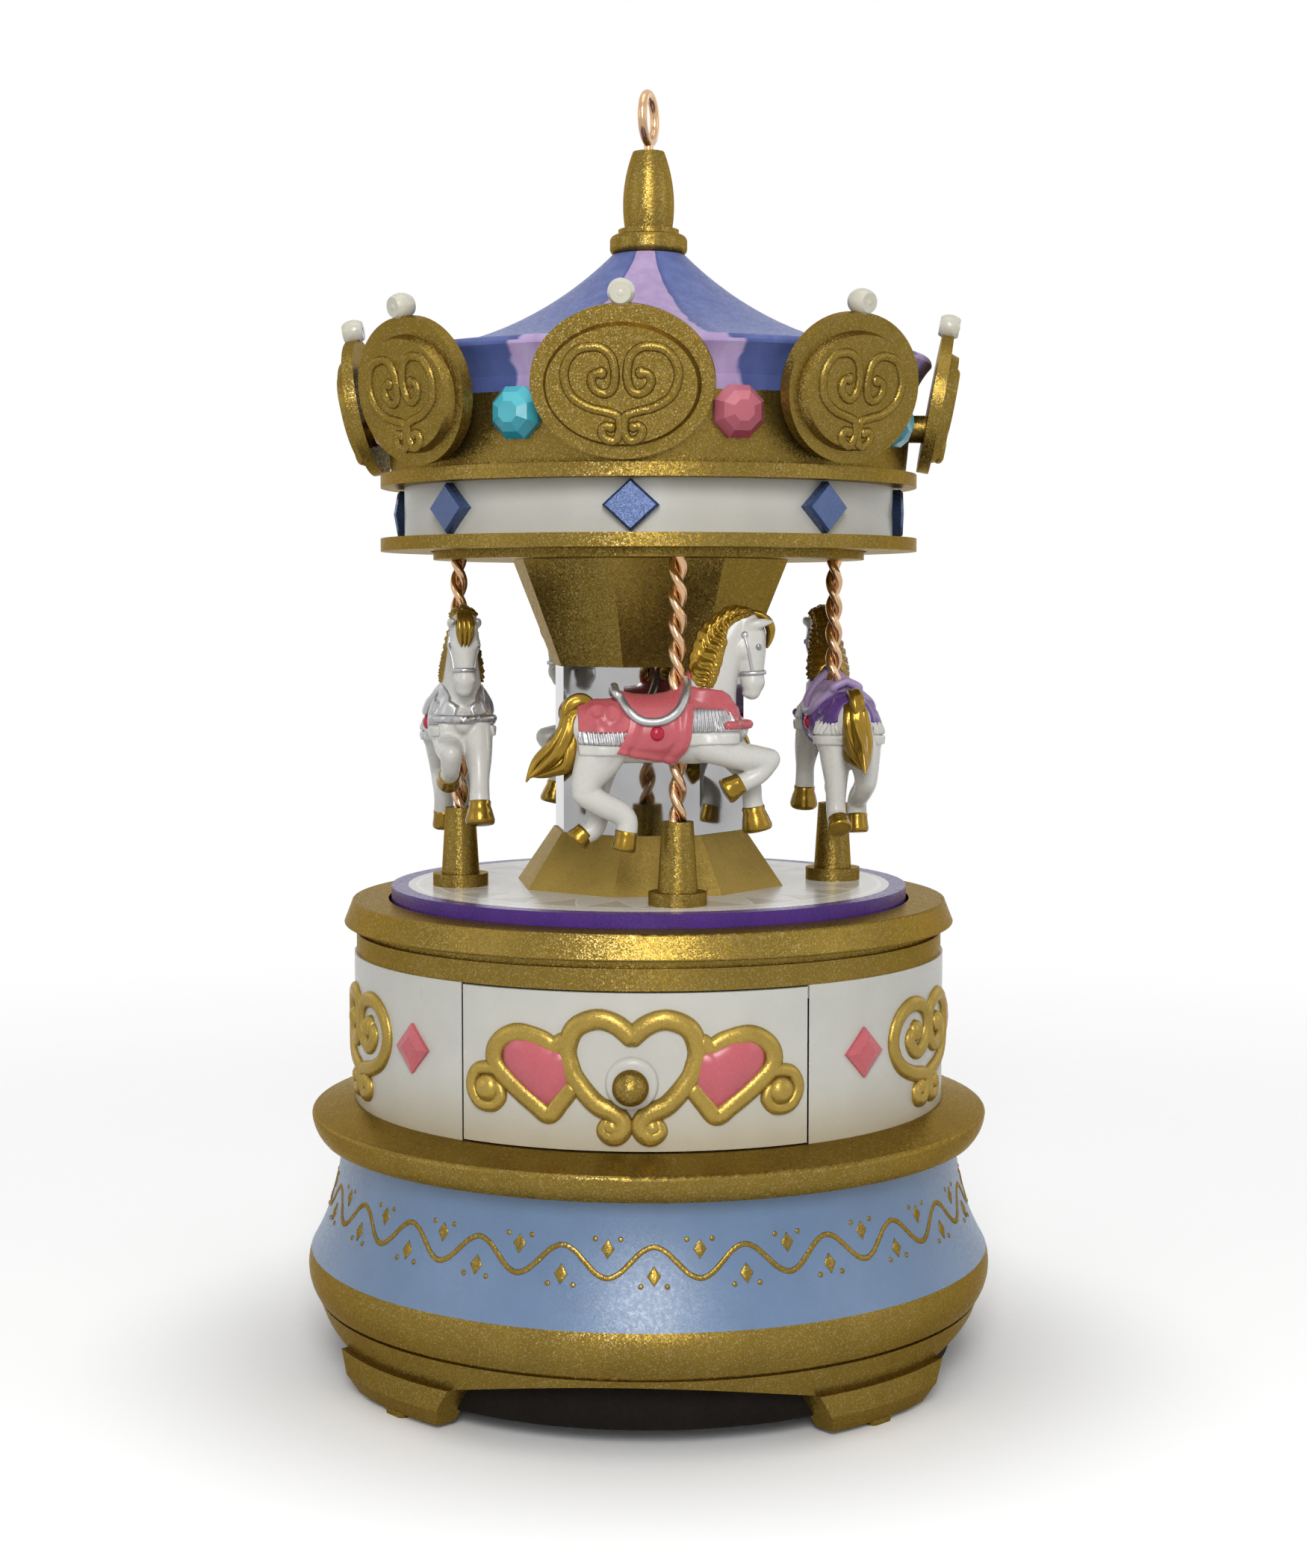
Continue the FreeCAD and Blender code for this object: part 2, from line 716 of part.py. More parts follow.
knob_level = "lid_top + drum_height / 2 - knob_drop"
knob_ball = doc.addObject("Part::Sphere", "knob_ball")
bind(knob_ball, Radius="knob_radius")
knob_place = ("0", "-drum_radius - knob_reach", knob_level)
at(knob_ball, knob_place)
knob_stem = cylinder("knob_stem", "knob_stem", "knob_reach", knob_place, AXIS_Y)
piece(fuse("knob", [knob_ball, knob_stem]), "drawer_knob")
boss_place = ("0", "-drum_radius - boss_proud", knob_level)
boss_disc = cylinder("boss_disc", "boss_radius", "2 * boss_radius", boss_place, AXIS_Y)
boss_hole = cylinder("boss_hole", "knob_stem", "2 * boss_radius", boss_place, AXIS_Y)
piece(cut("boss", boss_disc, [drawer_round, boss_hole]), "knob_boss")


def heart_wire(width):
    """A heart of two round lobes and two bowed sides, as tall as it is wide."""
    lobe = width / 4
    tip = V(0, -2.4 * lobe, 0)
    cleft = V(0, 0.6 * lobe, 0)
    edges = []
    for side in (1, -1):
        widest = V(side * 2 * lobe, 0.4 * lobe, 0)
        top = V(side * 1.1 * lobe, 1.6 * lobe, 0)
        bow = V(side * 1.35 * lobe, -1.1 * lobe, 0)
        edges += [Part.Arc(cleft, top, widest).toShape(), Part.Arc(widest, bow, tip).toShape()]
    return Part.Wire(Part.__sortEdges__(edges))


def make_drawer_hearts():
    proud = size("heart_proud")
    depth = size("heart_size") / 2
    hearts = []
    for side in (1, -1):
        heart = Part.Face(heart_wire(size("heart_size"))).extrude(V(0, 0, depth + proud))
        heart.translate(V(0, 0, -depth))
        heart.rotate(ORIGIN, AXIS_Z, -side * size("heart_tilt"))
        level = size("lid_top + drum_height / 2 + heart_rise")
        heart = outward(Part.makeCompound([heart]), size("drum_radius"), level).Solids[0]
        hearts += around(heart.cut(drum_solid), [side * size("heart_bearing")]).Solids
    return Part.makeCompound(hearts)


feature("drawer_hearts", make_drawer_hearts())

groove_bottom = "cornice_bottom + cornice_foot"
flange_bottom = f"{groove_bottom} + cornice_groove_height"
piece(turned("cornice_ring", [
    ("cornice_bore", "cornice_bottom"),
    ("cornice_radius", "cornice_bottom"),
    ("cornice_radius", groove_bottom),
    ("cornice_radius - cornice_groove", groove_bottom),
    ("cornice_radius - cornice_groove", flange_bottom),
    ("flange_radius - flange_edge", flange_bottom),
    ("flange_radius", f"{flange_bottom} + flange_edge", "flange_edge", 1),
    ("flange_radius - flange_batter", "cornice_top - flange_edge"),
    ("flange_radius - flange_batter - flange_edge", "cornice_top", "flange_edge", 1),
    ("cornice_bore", "cornice_top"),
]), "cornice")

deck_disc = turned("deck_disc", [
    ("post_radius", "cornice_bottom - deck_thick"),
    ("drum_bore - run_gap", "cornice_bottom - deck_thick"),
    ("drum_bore - run_gap", "cornice_bottom"),
    ("post_radius", "cornice_bottom"),
])
below_deck = "cornice_bottom - 2 * deck_thick"
deck_hole = cylinder("deck_hole", "shaft_bush_radius", "4 * deck_thick", ("0", "shaft_y", below_deck))
deck_notch = box("deck_notch", "drawer_width", "drum_radius + drawer_front_depth + drawer_gap",
                 "4 * deck_thick", ("-drawer_width / 2", "-2 * drum_radius", below_deck))
piece(cut("deck_drilled", deck_disc, [deck_hole, deck_notch]), "deck")

piece(turned("post", [
    ("0", "cornice_bottom - deck_thick"),
    ("post_radius", "cornice_bottom - deck_thick"),
    ("post_radius", "cornice_bottom"),
    ("post_flange_radius", "cornice_bottom"),
    ("post_flange_radius", "cornice_bottom + post_flange_thick"),
    ("post_radius", "cornice_bottom + post_flange_thick"),
    ("post_radius", "post_top"),
    ("0", "post_top"),
]), "center_post")

# Turntable and its gear

piece(turned("floor_disc", [
    ("bush_radius", "turntable_bottom"),
    ("floor_radius", "turntable_bottom"),
    ("floor_radius", "turntable_top"),
    ("bush_radius", "turntable_top"),
]), "turntable_floor")
piece(turned("rim_ring", [
    ("floor_radius", "turntable_bottom"),
    ("turntable_radius", "turntable_bottom"),
    ("turntable_radius", "turntable_top"),
    ("floor_radius", "turntable_top"),
]), "turntable_rim")


def make_table_gear():
    """The driven gear under the turntable, with the hub that carries the floor."""
    bore = size("bush_radius")
    height = size("turntable_bottom - table_gear_bottom")
    wheel = gear(TABLE_TEETH, size("drive_module"), size("table_gear_thick"), bore, 90)
    hub = Part.makeCylinder(size("table_hub_radius"), height).cut(Part.makeCylinder(bore, height))
    wheel = wheel.fuse(hub).removeSplitter()
    wheel.translate(V(0, 0, size("table_gear_bottom")))
    return wheel


feature("turntable_gear", make_table_gear())


def bush(label, bottom, top):
    return turned(label, [
        ("post_radius + run_gap", bottom),
        ("bush_radius", bottom),
        ("bush_radius", top),
        ("post_radius + run_gap", top),
    ])


piece(group("bushes", [
    bush("lower_bush", "table_gear_bottom", "turntable_top"),
    bush("upper_bush", "ceiling_bottom", "ceiling_top"),
]), "turntable_bushes")

# Octagonal column between the turntable and the ceiling

rest_angle = size("rest_angle")
flat_ratio = math.cos(math.pi / OCTAGON)
core_radius = size("panel_radius") - size("panel_thick") / flat_ratio
core_bore = core_radius * flat_ratio - size("core_wall")


def octagon(radius, level):
    return regular(radius, OCTAGON, level, rest_angle)


def octagonal(bottom_radius, bottom, top_radius, top):
    return faceted([octagon(bottom_radius, bottom), octagon(top_radius, top)])


skirt_bottom = size("turntable_top")
funnel_top = size("ceiling_bottom")
waist_radius = size("skirt_top_radius")
core_solid = octagonal(core_radius, skirt_bottom, core_radius, funnel_top)
core_hollow = Part.makeCylinder(core_bore, size("ceiling_bottom"))
feature("column_core", core_solid.cut(core_hollow))
skirt = octagonal(size("skirt_radius"), skirt_bottom, waist_radius, size("panel_bottom"))
feature("column_skirt", skirt.cut(core_solid))
funnel = octagonal(waist_radius, size("panel_top"), size("funnel_radius"), funnel_top)
feature("column_funnel", funnel.cut(core_solid))


def make_mirror_panels():
    """Eight mirror strips, mitred where they meet."""
    inner = [vertex.Point for vertex in octagon(core_radius, size("panel_bottom")).Vertexes]
    outer = [vertex.Point for vertex in octagon(size("panel_radius"), size("panel_bottom")).Vertexes]
    strips = []
    for number in range(OCTAGON):
        after = (number + 1) % OCTAGON
        strips.append(prism([inner[number], outer[number], outer[after], inner[after]], size("panel_height")))
    return Part.makeCompound(strips)


feature("mirror_panels", make_mirror_panels())
piece(turned("ceiling", [
    ("bush_radius", "ceiling_bottom"),
    ("ceiling_radius", "ceiling_bottom"),
    ("ceiling_radius", "ceiling_top"),
    ("bush_radius", "ceiling_top"),
]), "ceiling_disc")

# Poles of two twisted wires, in tapered sockets

pole_bearings = [rest_angle + 360 / HORSES * number for number in range(HORSES)]
pole_bore = size("pole_radius + seat_gap")


def make_socket():
    foot = V(0, -size("pole_circle"), size("turntable_top"))
    shoulder = foot + V(0, 0, size("socket_flange_thick"))
    cone_height = size("socket_height - socket_flange_thick")
    cone = Part.makeCone(size("socket_radius"), size("socket_top_radius"), cone_height, shoulder, AXIS_Z)
    bore_foot = foot + V(0, 0, size("socket_height - socket_depth"))
    bore = Part.makeCylinder(pole_bore, size("socket_depth"), bore_foot)
    return rod(size("socket_flange_radius"), foot, shoulder).fuse(cone).removeSplitter().cut(bore)


def make_pole():
    """Two wires wound round each other, cut square at both ends."""
    wire_radius = size("wire_radius")
    lay_radius = wire_radius + size("wire_gap") / 2
    pitch = size("twist_pitch")
    length = size("ceiling_bottom - pole_bottom")
    spare = 2 * wire_radius
    helix = Part.makeHelix(pitch, length + 2 * spare, lay_radius, 0, True)
    tangent = V(0, -2 * math.pi * lay_radius, pitch)
    section = Part.Wire(Part.Circle(V(lay_radius, 0, 0), tangent, wire_radius).toShape())
    wire = Part.Wire(helix).makePipeShell([section], True, True)
    wire.translate(V(0, 0, -spare))
    trimmed = wire.common(Part.makeCylinder(2 * size("pole_radius"), length))
    other = trimmed.copy()
    other.rotate(ORIGIN, AXIS_Z, 180)
    pair = Part.makeCompound(trimmed.Solids + other.Solids)
    pair.translate(V(0, -size("pole_circle"), size("pole_bottom")))
    return pair


def copies_of_solids(shape, bearings):
    return Part.makeCompound([solid for copy in around(shape, bearings).SubShapes for solid in copy.Solids])


feature("pole_sockets", around(make_socket(), pole_bearings))
feature("poles", copies_of_solids(make_pole(), pole_bearings))

# Horses: x forward from the pole, y to the horse's left, z up from the saddle seat

TORSO = [  # x, z, half width, half height
    (-9.3, -4.7, 0.7, 1.3), (-8.2, -4.2, 2.0, 2.9), (-5.5, -3.3, 2.5, 3.3), (-2.0, -3.3, 2.6, 3.2),
    (1.2, -3.0, 2.5, 3.5), (4.0, -2.6, 2.3, 3.3), (5.6, -3.0, 1.5, 2.0), (6.2, -3.2, 0.5, 0.8),
]
LIMBS = {  # side of the horse, then x, z and radius from the body outwards
    "neck": (0.0, [(2.6, -2.2, 2.3), (3.4, 1.6, 1.8), (4.6, 4.4, 1.5), (5.6, 6.4, 1.2)]),
    "head": (0.0, [(5.2, 6.3, 1.0), (6.3, 4.3, 1.45), (6.6, 2.2, 1.15), (6.7, 0.6, 1.0), (6.7, -0.2, 0.6)]),
    "tail": (0.0, [(-8.2, -1.6, 0.9), (-10.2, -2.6, 1.0), (-11.8, -5.0, 1.0), (-13.3, -7.3, 0.5)]),
    "fore_arm": (-1.3, [(3.0, -5.0, 1.6), (6.0, -5.7, 1.35), (8.2, -6.0, 1.0)]),
    "fore_shin": (-1.3, [(8.0, -5.7, 0.95), (6.2, -8.0, 0.85), (4.4, -8.9, 1.05)]),
    "fore_leg": (1.3, [(4.2, -4.6, 1.6), (6.0, -7.6, 1.1), (6.8, -9.9, 0.9), (7.3, -12.1, 1.25)]),
    "thigh": (-1.3, [(-6.4, -4.8, 2.0), (-7.6, -7.0, 1.5), (-8.6, -8.9, 1.1)]),
    "hind_shin": (-1.3, [(-8.7, -8.6, 1.05), (-6.4, -10.3, 0.95), (-4.9, -11.6, 0.85), (-4.9, -13.3, 1.1)]),
    "hind_leg": (1.3, [(-6.2, -5.0, 1.9), (-7.2, -9.0, 1.0), (-7.4, -11.4, 0.8), (-8.4, -13.2, 1.1)]),
}
JOINT_BALLS = [(8.15, -1.3, -5.95, 1.1), (-8.7, -1.3, -8.8, 1.2)]  # knee and hock: x, y, z, radius


def ellipse_wire(centre, half_width, half_height):
    """An upright ellipse across the horse."""
    major, minor = max(half_width, half_height), min(half_width, half_height)
    long_end = V(0, 0, major) if half_height > half_width else V(0, major, 0)
    short_end = V(0, minor, 0) if half_height > half_width else V(0, 0, minor)
    return Part.Wire(Part.Ellipse(centre + long_end, centre + short_end, centre).toShape())


def limb(side, stations):
    """A round limb through stations, each section square to the line of the limb."""
    spots = [V(x, side, z) for x, z, radius in stations]
    sections = []
    for number, (x, z, radius) in enumerate(stations):
        before = spots[max(number - 1, 0)]
        after = spots[min(number + 1, len(spots) - 1)]
        sections.append(Part.Wire(Part.Circle(spots[number], after - before, radius).toShape()))
    return Part.makeLoft(sections, True, False)


def make_horse():
    torso = Part.makeLoft([ellipse_wire(V(x, 0, z), wide, high) for x, z, wide, high in TORSO], True, False)
    limbs = [limb(side, stations) for side, stations in LIMBS.values()]
    balls = [Part.makeSphere(radius, V(x, y, z)) for x, y, z, radius in JOINT_BALLS]
    horse = torso.multiFuse(limbs + balls)
    reach = size("saddle_height")
    return horse.cut(Part.makeCylinder(pole_bore, 2 * reach, V(0, 0, -reach)))


horse_solid = make_horse()
horse_solid.translate(V(0, -size("pole_circle"), size("turntable_top + saddle_height")))
for name, bearing in zip(("front", "right", "back", "left"), pole_bearings):
    feature(f"horse_{name}", around(horse_solid, [bearing]))

# Canopy: floor ring, fascia, upper ring, crown and roof

piece(turned("canopy_plate", [
    ("post_radius", "plate_bottom"),
    ("ceiling_radius + side_gap", "plate_bottom"),
    ("ceiling_radius + side_gap", "canopy_bottom"),
    ("canopy_radius", "canopy_bottom"),
    ("canopy_radius", "fascia_bottom"),
    ("fascia_bore - seat_gap", "fascia_bottom"),
    ("fascia_bore - seat_gap", "plate_bottom + canopy_plate"),
    ("post_radius", "plate_bottom + canopy_plate"),
]), "canopy_floor")
piece(turned("fascia_ring", [
    ("fascia_bore", "fascia_bottom"),
    ("fascia_radius", "fascia_bottom"),
    ("fascia_radius", "upper_ring_bottom"),
    ("fascia_bore", "upper_ring_bottom"),
]), "fascia")
piece(turned("upper_plate", [
    ("post_radius", "upper_ring_bottom"),
    ("upper_ring_radius", "upper_ring_bottom"),
    ("upper_ring_radius", "crown_bottom"),
    ("post_radius", "crown_bottom"),
]), "upper_ring")
piece(turned("crown_ring", [
    ("crown_radius - crown_wall", "crown_bottom"),
    ("crown_radius", "crown_bottom"),
    ("crown_top_radius", "roof_bottom"),
    ("crown_top_radius - crown_wall", "roof_bottom"),
]), "crown_band")
roof = piece(turned("roof_shell", [
    ("crown_top_radius - roof_wall", "roof_bottom"),
    ("crown_top_radius", "roof_bottom"),
    ("valance_radius", "roof_bottom + valance_height"),
    ("eave_radius", "roof_bottom + eave_height", "2 * eave_height", -1),
    ("eave_top_radius", "roof_bottom + eave_height + eave_edge", "eave_edge", 1),
    ("roof_top_radius", "roof_top", "roof_curve", -1),
    ("post_radius", "roof_top"),
    ("post_radius", "roof_top - 2 * roof_wall"),
    ("roof_top_radius", "roof_top - 2 * roof_wall"),
    ("crown_top_radius - roof_wall", "roof_bottom + eave_height - roof_wall", "roof_curve + roof_wall", 1),
]), "roof")

fascia_solid = Part.makeCylinder(size("fascia_radius"), size("upper_ring_bottom"))
crown_solid = Part.makeCone(size("crown_radius"), size("crown_top_radius"), size("crown_height"),
                            V(0, 0, size("crown_bottom")), AXIS_Z)
tile_bearings = [size("fascia_turn") + 360 / BAYS * number for number in range(BAYS)]
bay_bearings = [size("crown_turn") + 360 / BAYS * number for number in range(BAYS)]
between_bearings = [bearing + 360 / BAYS / 2 for bearing in bay_bearings]


def make_fascia_tiles():
    """Rhombus tiles with bevelled edges, one to each bay."""
    wide = size("tile_width")
    high = size("tile_height")
    proud = size("tile_proud")
    outlines = [(1, -proud), (1, 0.75 * proud), (0.88, proud)]
    tile = faceted([rhombus(share * wide, share * high, level) for share, level in outlines])
    tile = outward(tile, size("fascia_radius"), size("fascia_bottom + fascia_height / 2"))
    return around(tile.cut(fascia_solid), tile_bearings)


feature("fascia_tiles", make_fascia_tiles())


def oval(width, height, level):
    return Part.Wire(Part.Ellipse(V(width / 2, 0, level), V(0, height / 2, level), V(0, 0, level)).toShape())


pearl_level = size("medallion_height / 2 + pearl_radius - pearl_seat")


def make_pearl(hole):
    """A barrel bead lying with its hole pointing out, drawn on the medallion's own plane."""
    half = size("pearl_length / 2")
    radius = size("pearl_radius")
    end = 0.75 * radius
    middle = size("medallion_thick / 2")
    side = Part.Arc(V(end, 0, -half), V(radius, 0, 0), V(end, 0, half)).toShape()
    ends = Part.makePolygon([V(end, 0, half), V(hole, 0, half), V(hole, 0, -half), V(end, 0, -half)])
    bead = Part.Face(Part.Wire([side] + ends.Edges)).revolve(ORIGIN, AXIS_Z, 360)
    bead.translate(V(0, pearl_level, middle))
    return bead


def lean_out(shape):
    """Takes a shape from the medallion's own plane to its place on the crown."""
    level = size("crown_bottom + medallion_level")
    placed = outward(Part.makeCompound([shape]), size("medallion_reach"), level, size("medallion_tilt"))
    return placed.Solids[0]


def make_medallion():
    """An oval plate with a raised bevelled oval, a cup for its pearl and a peg to the crown."""
    thick = size("medallion_thick")
    plate = faceted([oval(size("medallion_width"), size("medallion_height"), level) for level in (0, thick)])
    wide = size("boss_oval_width")
    high = size("boss_oval_height")
    bevel = 2 * size("boss_oval_bevel")
    crest = thick + size("boss_oval_thick")
    raised = faceted([oval(wide, high, thick), oval(wide - bevel, high - bevel, crest)])
    raised.translate(V(0, -size("boss_oval_drop"), 0))
    cup_foot = V(0, size("medallion_height / 2") - thick, thick / 2)
    cup = rod(size("pearl_cup_radius"), cup_foot, V(0, pearl_level, thick / 2))
    ornament = lean_out(plate.fuse([raised, cup]).cut(make_pearl(0)))
    peg_level = size("crown_bottom + gem_level")
    inner_end = V(0, -size("crown_radius - crown_wall"), peg_level)
    peg = rod(size("peg_radius"), inner_end, V(0, -size("medallion_reach"), peg_level)).cut(crown_solid)
    return ornament.fuse(peg).removeSplitter()


feature("medallions", around(make_medallion(), bay_bearings))
feature("pearls", around(lean_out(make_pearl(size("pearl_hole"))), bay_bearings))


def make_gem():
    """A stone with a flat table and two rows of facets."""
    radius = size("gem_radius")
    proud = size("gem_proud")
    seat = size("roof_wall") / 2
    outlines = [(1, -seat), (1, size("gem_girdle")), (0.75, 0.75 * proud), (0.4, proud)]
    stone = faceted([regular(share * radius, BAYS, level) for share, level in outlines])
    reach = size("crown_radius + (crown_top_radius - crown_radius) * gem_level / crown_height")
    return outward(stone, reach, size("crown_bottom + gem_level")).cut(crown_solid).cut(roof.Shape)


gem = make_gem()
feature("pink_gems", around(gem, between_bearings[0::2]))
feature("teal_gems", around(gem, between_bearings[1::2]))

# Finial and hanging eyelet

finial_body = turned("finial_body", [
    ("0", "post_top"),
    ("post_radius", "post_top"),
    ("post_radius", "roof_top"),
    ("collar_radius - collar_edge", "roof_top"),
    ("collar_radius", "roof_top + collar_edge", "collar_edge", 1),
    ("collar_radius", "roof_top + collar_height - collar_edge"),
    ("collar_radius - collar_edge", "roof_top + collar_height", "collar_edge", 1),
    ("collar_step_radius", "roof_top + collar_height"),
    ("collar_step_radius", "roof_top + collar_height + collar_step"),
    ("finial_neck_radius", "roof_top + collar_height + collar_step"),
    ("finial_top_radius", "finial_top", "finial_curve", 1),
    ("0", "finial_top"),
])
eyelet_bore = cylinder("eyelet_bore", "eyelet_wire_radius", "2 * eyelet_root",
                       ("0", "0", "finial_top - eyelet_root"))
piece(cut("finial_drilled", finial_body, [eyelet_bore]), "finial")


def make_eyelet():
    """A wire ring on a stem, turned a little from square to the drawer."""
    turn = math.radians(size("eyelet_turn"))
    facing = V(math.sin(turn), -math.cos(turn), 0)
    wire = size("eyelet_wire_radius")
    ring_radius = size("eyelet_ring_radius")
    middle = V(0, 0, size("eyelet_level"))
    ring = Part.makeTorus(ring_radius, wire, middle, facing)
    stem = rod(wire, V(0, 0, size("finial_top - eyelet_root")), middle - V(0, 0, ring_radius))
    return ring.fuse(stem)


feature("eyelet", make_eyelet())

# Movement: bedplate, drive shaft and spring barrel

bed_disc = cylinder("bed_disc", "bedplate_radius", "bedplate_thick", ("0", "0", "cover_top"))
bed_hole = cylinder("bed_hole", "shaft_bush_radius", "4 * bedplate_thick",
                    ("0", "shaft_y", "cover_top - bedplate_thick"))
piece(cut("bed_drilled", bed_disc, [arbor_hole, bed_hole]), "bedplate")


def shaft_bush(label, bottom, height):
    sleeve = cylinder(label + "_sleeve", "shaft_bush_radius", height, ("0", "shaft_y", bottom))
    bore = cylinder(label + "_bore", "shaft_radius + run_gap", height, ("0", "shaft_y", bottom))
    return cut(label, sleeve, [bore])


piece(group("shaft_sleeves", [
    shaft_bush("bed_bush", "cover_top", "bedplate_thick"),
    shaft_bush("deck_bush", "cornice_bottom - deck_thick", "deck_thick"),
]), "shaft_bushes")

shaft_bottom = "cover_top + run_gap"
pinion_bottom = "table_gear_bottom - (pinion_thick - table_gear_thick) / 2"
shaft_length = f"{pinion_bottom} + pinion_thick - ({shaft_bottom})"
piece(cylinder("drive_rod", "shaft_radius", shaft_length, ("0", "shaft_y", shaft_bottom)), "drive_shaft")

barrel_bearing = size("barrel_bearing")
shaft_radius = size("shaft_radius")
drive_pinion = gear(PINION_TEETH, size("drive_module"), size("pinion_thick"), shaft_radius,
                    270 + 180 / PINION_TEETH)
drive_pinion.translate(V(0, size("shaft_y"), size(pinion_bottom)))
feature("drive_pinion", drive_pinion)
shaft_gear_bottom = "barrel_gear_bottom - (shaft_gear_thick - barrel_gear_thick) / 2"
shaft_gear = gear(SHAFT_TEETH, size("barrel_module"), size("shaft_gear_thick"), shaft_radius,
                  barrel_bearing + 180 + 180 / SHAFT_TEETH)
shaft_gear.translate(V(0, size("shaft_y"), size(shaft_gear_bottom)))
feature("shaft_gear", shaft_gear)

barrel_place = V(size("barrel_x"), size("barrel_y"), 0)


def make_barrel():
    """A closed spring barrel with a spur gear round it and crown teeth on top."""
    bottom = V(0, 0, size("barrel_bottom"))
    height = size("barrel_height")
    wall = size("barrel_wall")
    outer = size("barrel_radius")
    shell = Part.makeCylinder(outer, height, bottom)
    hollow = Part.makeCylinder(outer - wall, height - 2 * wall, bottom + V(0, 0, wall))
    wheel_thick = size("barrel_gear_thick")
    wheel = gear(BARREL_TEETH, size("barrel_module"), wheel_thick, outer - wall / 2, barrel_bearing)
    wheel.translate(V(0, 0, size("barrel_gear_bottom")))
    crown = crown_teeth()
    bore = Part.makeCylinder(size("arbor_radius + run_gap"), 2 * height, bottom)
    barrel = shell.fuse([wheel] + crown).cut(hollow).cut(bore)
    barrel.translate(barrel_place)
    return barrel


def crown_teeth():
    """Tapered teeth on the barrel's top face, with a gap centred towards +X."""
    module = size("crown_module")
    pitch_radius = size("crown_radius_pitch")
    slope = math.tan(PRESSURE_ANGLE)
    half = (math.pi * module / 2 - size("backlash")) / 2
    foot = size("crown_dedendum")
    tip = ADDENDUM * module
    width = size("crown_width")
    start = V(pitch_radius - width / 2, 0, size("barrel_top"))
    profile = [V(0, -half - slope * foot, 0), V(0, half + slope * foot, 0),
               V(0, half - slope * tip, foot + tip), V(0, -half + slope * tip, foot + tip)]
    tooth = Part.Face(polygon([start + corner for corner in profile])).extrude(V(width, 0, 0))
    teeth = []
    for number in range(CROWN_TEETH):
        copy = tooth.copy()
        copy.rotate(ORIGIN, AXIS_Z, 360 / CROWN_TEETH * (number + 0.5))
        teeth.append(copy)
    return teeth


feature("spring_barrel", make_barrel())


def make_mainspring():
    """A flat ribbon wound from the arbor to the barrel wall."""
    inner = size("arbor_radius + side_gap")
    outer = size("barrel_radius - barrel_wall - side_gap")
    thick = size("spring_thick")
    steps = 24 * SPRING_TURNS
    edges = ([], [])
    for step in range(steps + 1):
        angle = 2 * math.pi * SPRING_TURNS * step / steps
        radius = inner + (outer - thick - inner) * step / steps
        edges[0].append(V(radius * math.cos(angle), radius * math.sin(angle), 0))
        edges[1].append(V((radius + thick) * math.cos(angle), (radius + thick) * math.sin(angle), 0))
    ribbon = prism(edges[0] + edges[1][::-1], size("barrel_height - 2 * barrel_wall - 2 * side_gap"))
    ribbon.translate(barrel_place + V(0, 0, size("barrel_bottom + barrel_wall + side_gap")))
    return ribbon


feature("mainspring", make_mainspring())

# Winding arbor and key, reached from under the base

key_bottom = "cover_bottom - key_drop - key_hub_height"
arbor_bottom = f"{key_bottom} + key_hub_height / 3"
arbor_length = f"barrel_top - ({arbor_bottom})"
arbor = cylinder("arbor", "arbor_radius", arbor_length, ("barrel_x", "barrel_y", arbor_bottom))
piece(arbor, "winding_arbor")


def make_key():
    """A butterfly key: a hub with two round wings."""
    bottom = size(key_bottom)
    radius = size("key_wing_radius")
    thick = size("key_wing_thick")
    reach = size("key_hub_radius") + 0.75 * radius
    hub = Part.makeCylinder(size("key_hub_radius"), size("key_hub_height"), V(0, 0, bottom))
    middle = bottom + size("key_hub_height / 2")
    through = V(0, thick / 2, 0)
    centres = [V(reach, 0, middle), V(-reach, 0, middle)]
    wings = [rod(radius, centre - through, centre + through) for centre in centres]
    web = Part.makeBox(2 * reach, thick, radius, V(-reach, -thick / 2, middle - radius / 2))
    bore = Part.makeCylinder(size("arbor_radius"), size("key_hub_height"), V(0, 0, size(arbor_bottom)))
    span = 2 * (reach + radius)
    below = Part.makeBox(span, span, 2 * radius, V(-span / 2, -span / 2, bottom - 2 * radius))
    key = hub.fuse(wings + [web]).cut(bore).cut(below)
    key.translate(barrel_place)
    return key


feature("winding_key", make_key())

# Pin cylinder, governor and comb

cylinder_axis = V(0, size("barrel_y"), size("cylinder_level"))
governor_axis = V(0, size("governor_y"), size("cylinder_level"))
cylinder_start = size("cylinder_start")
cylinder_end = size("cylinder_end")
bracket_thick = size("bracket_thick")
side_gap = size("side_gap")
crown_middle = size("barrel_x + crown_radius_pitch")
gear_start = cylinder_end
gear_end = gear_start + size("cylinder_gear_thick")
right_bracket = gear_end + side_gap
fan_start = right_bracket + bracket_thick + side_gap
fan_end = fan_start + size("fan_length")
governor_brackets = (gear_start - side_gap - bracket_thick - side_gap, fan_end + side_gap)


def along_x(shape, axis, start):
    """Lays a shape made on +Z along +X, with its foot at start."""
    shape.Placement = FreeCAD.Placement(axis + V(start, 0, 0), FreeCAD.Rotation(AXIS_Y, 90))
    return shape


def make_cylinder():
    shaft_start = crown_middle - size("crown_width") / 2
    drum = Part.makeCylinder(size("cylinder_radius"), size("cylinder_length"))
    shaft = rod(size("cylinder_shaft_radius"), cylinder_axis + V(shaft_start, 0, 0),
                cylinder_axis + V(right_bracket + bracket_thick, 0, 0))
    return along_x(drum, cylinder_axis, cylinder_start).fuse(shaft).removeSplitter()


def comb_spot(number):
    return cylinder_start + size("cylinder_length") * (number + 0.5) / COMB_TEETH


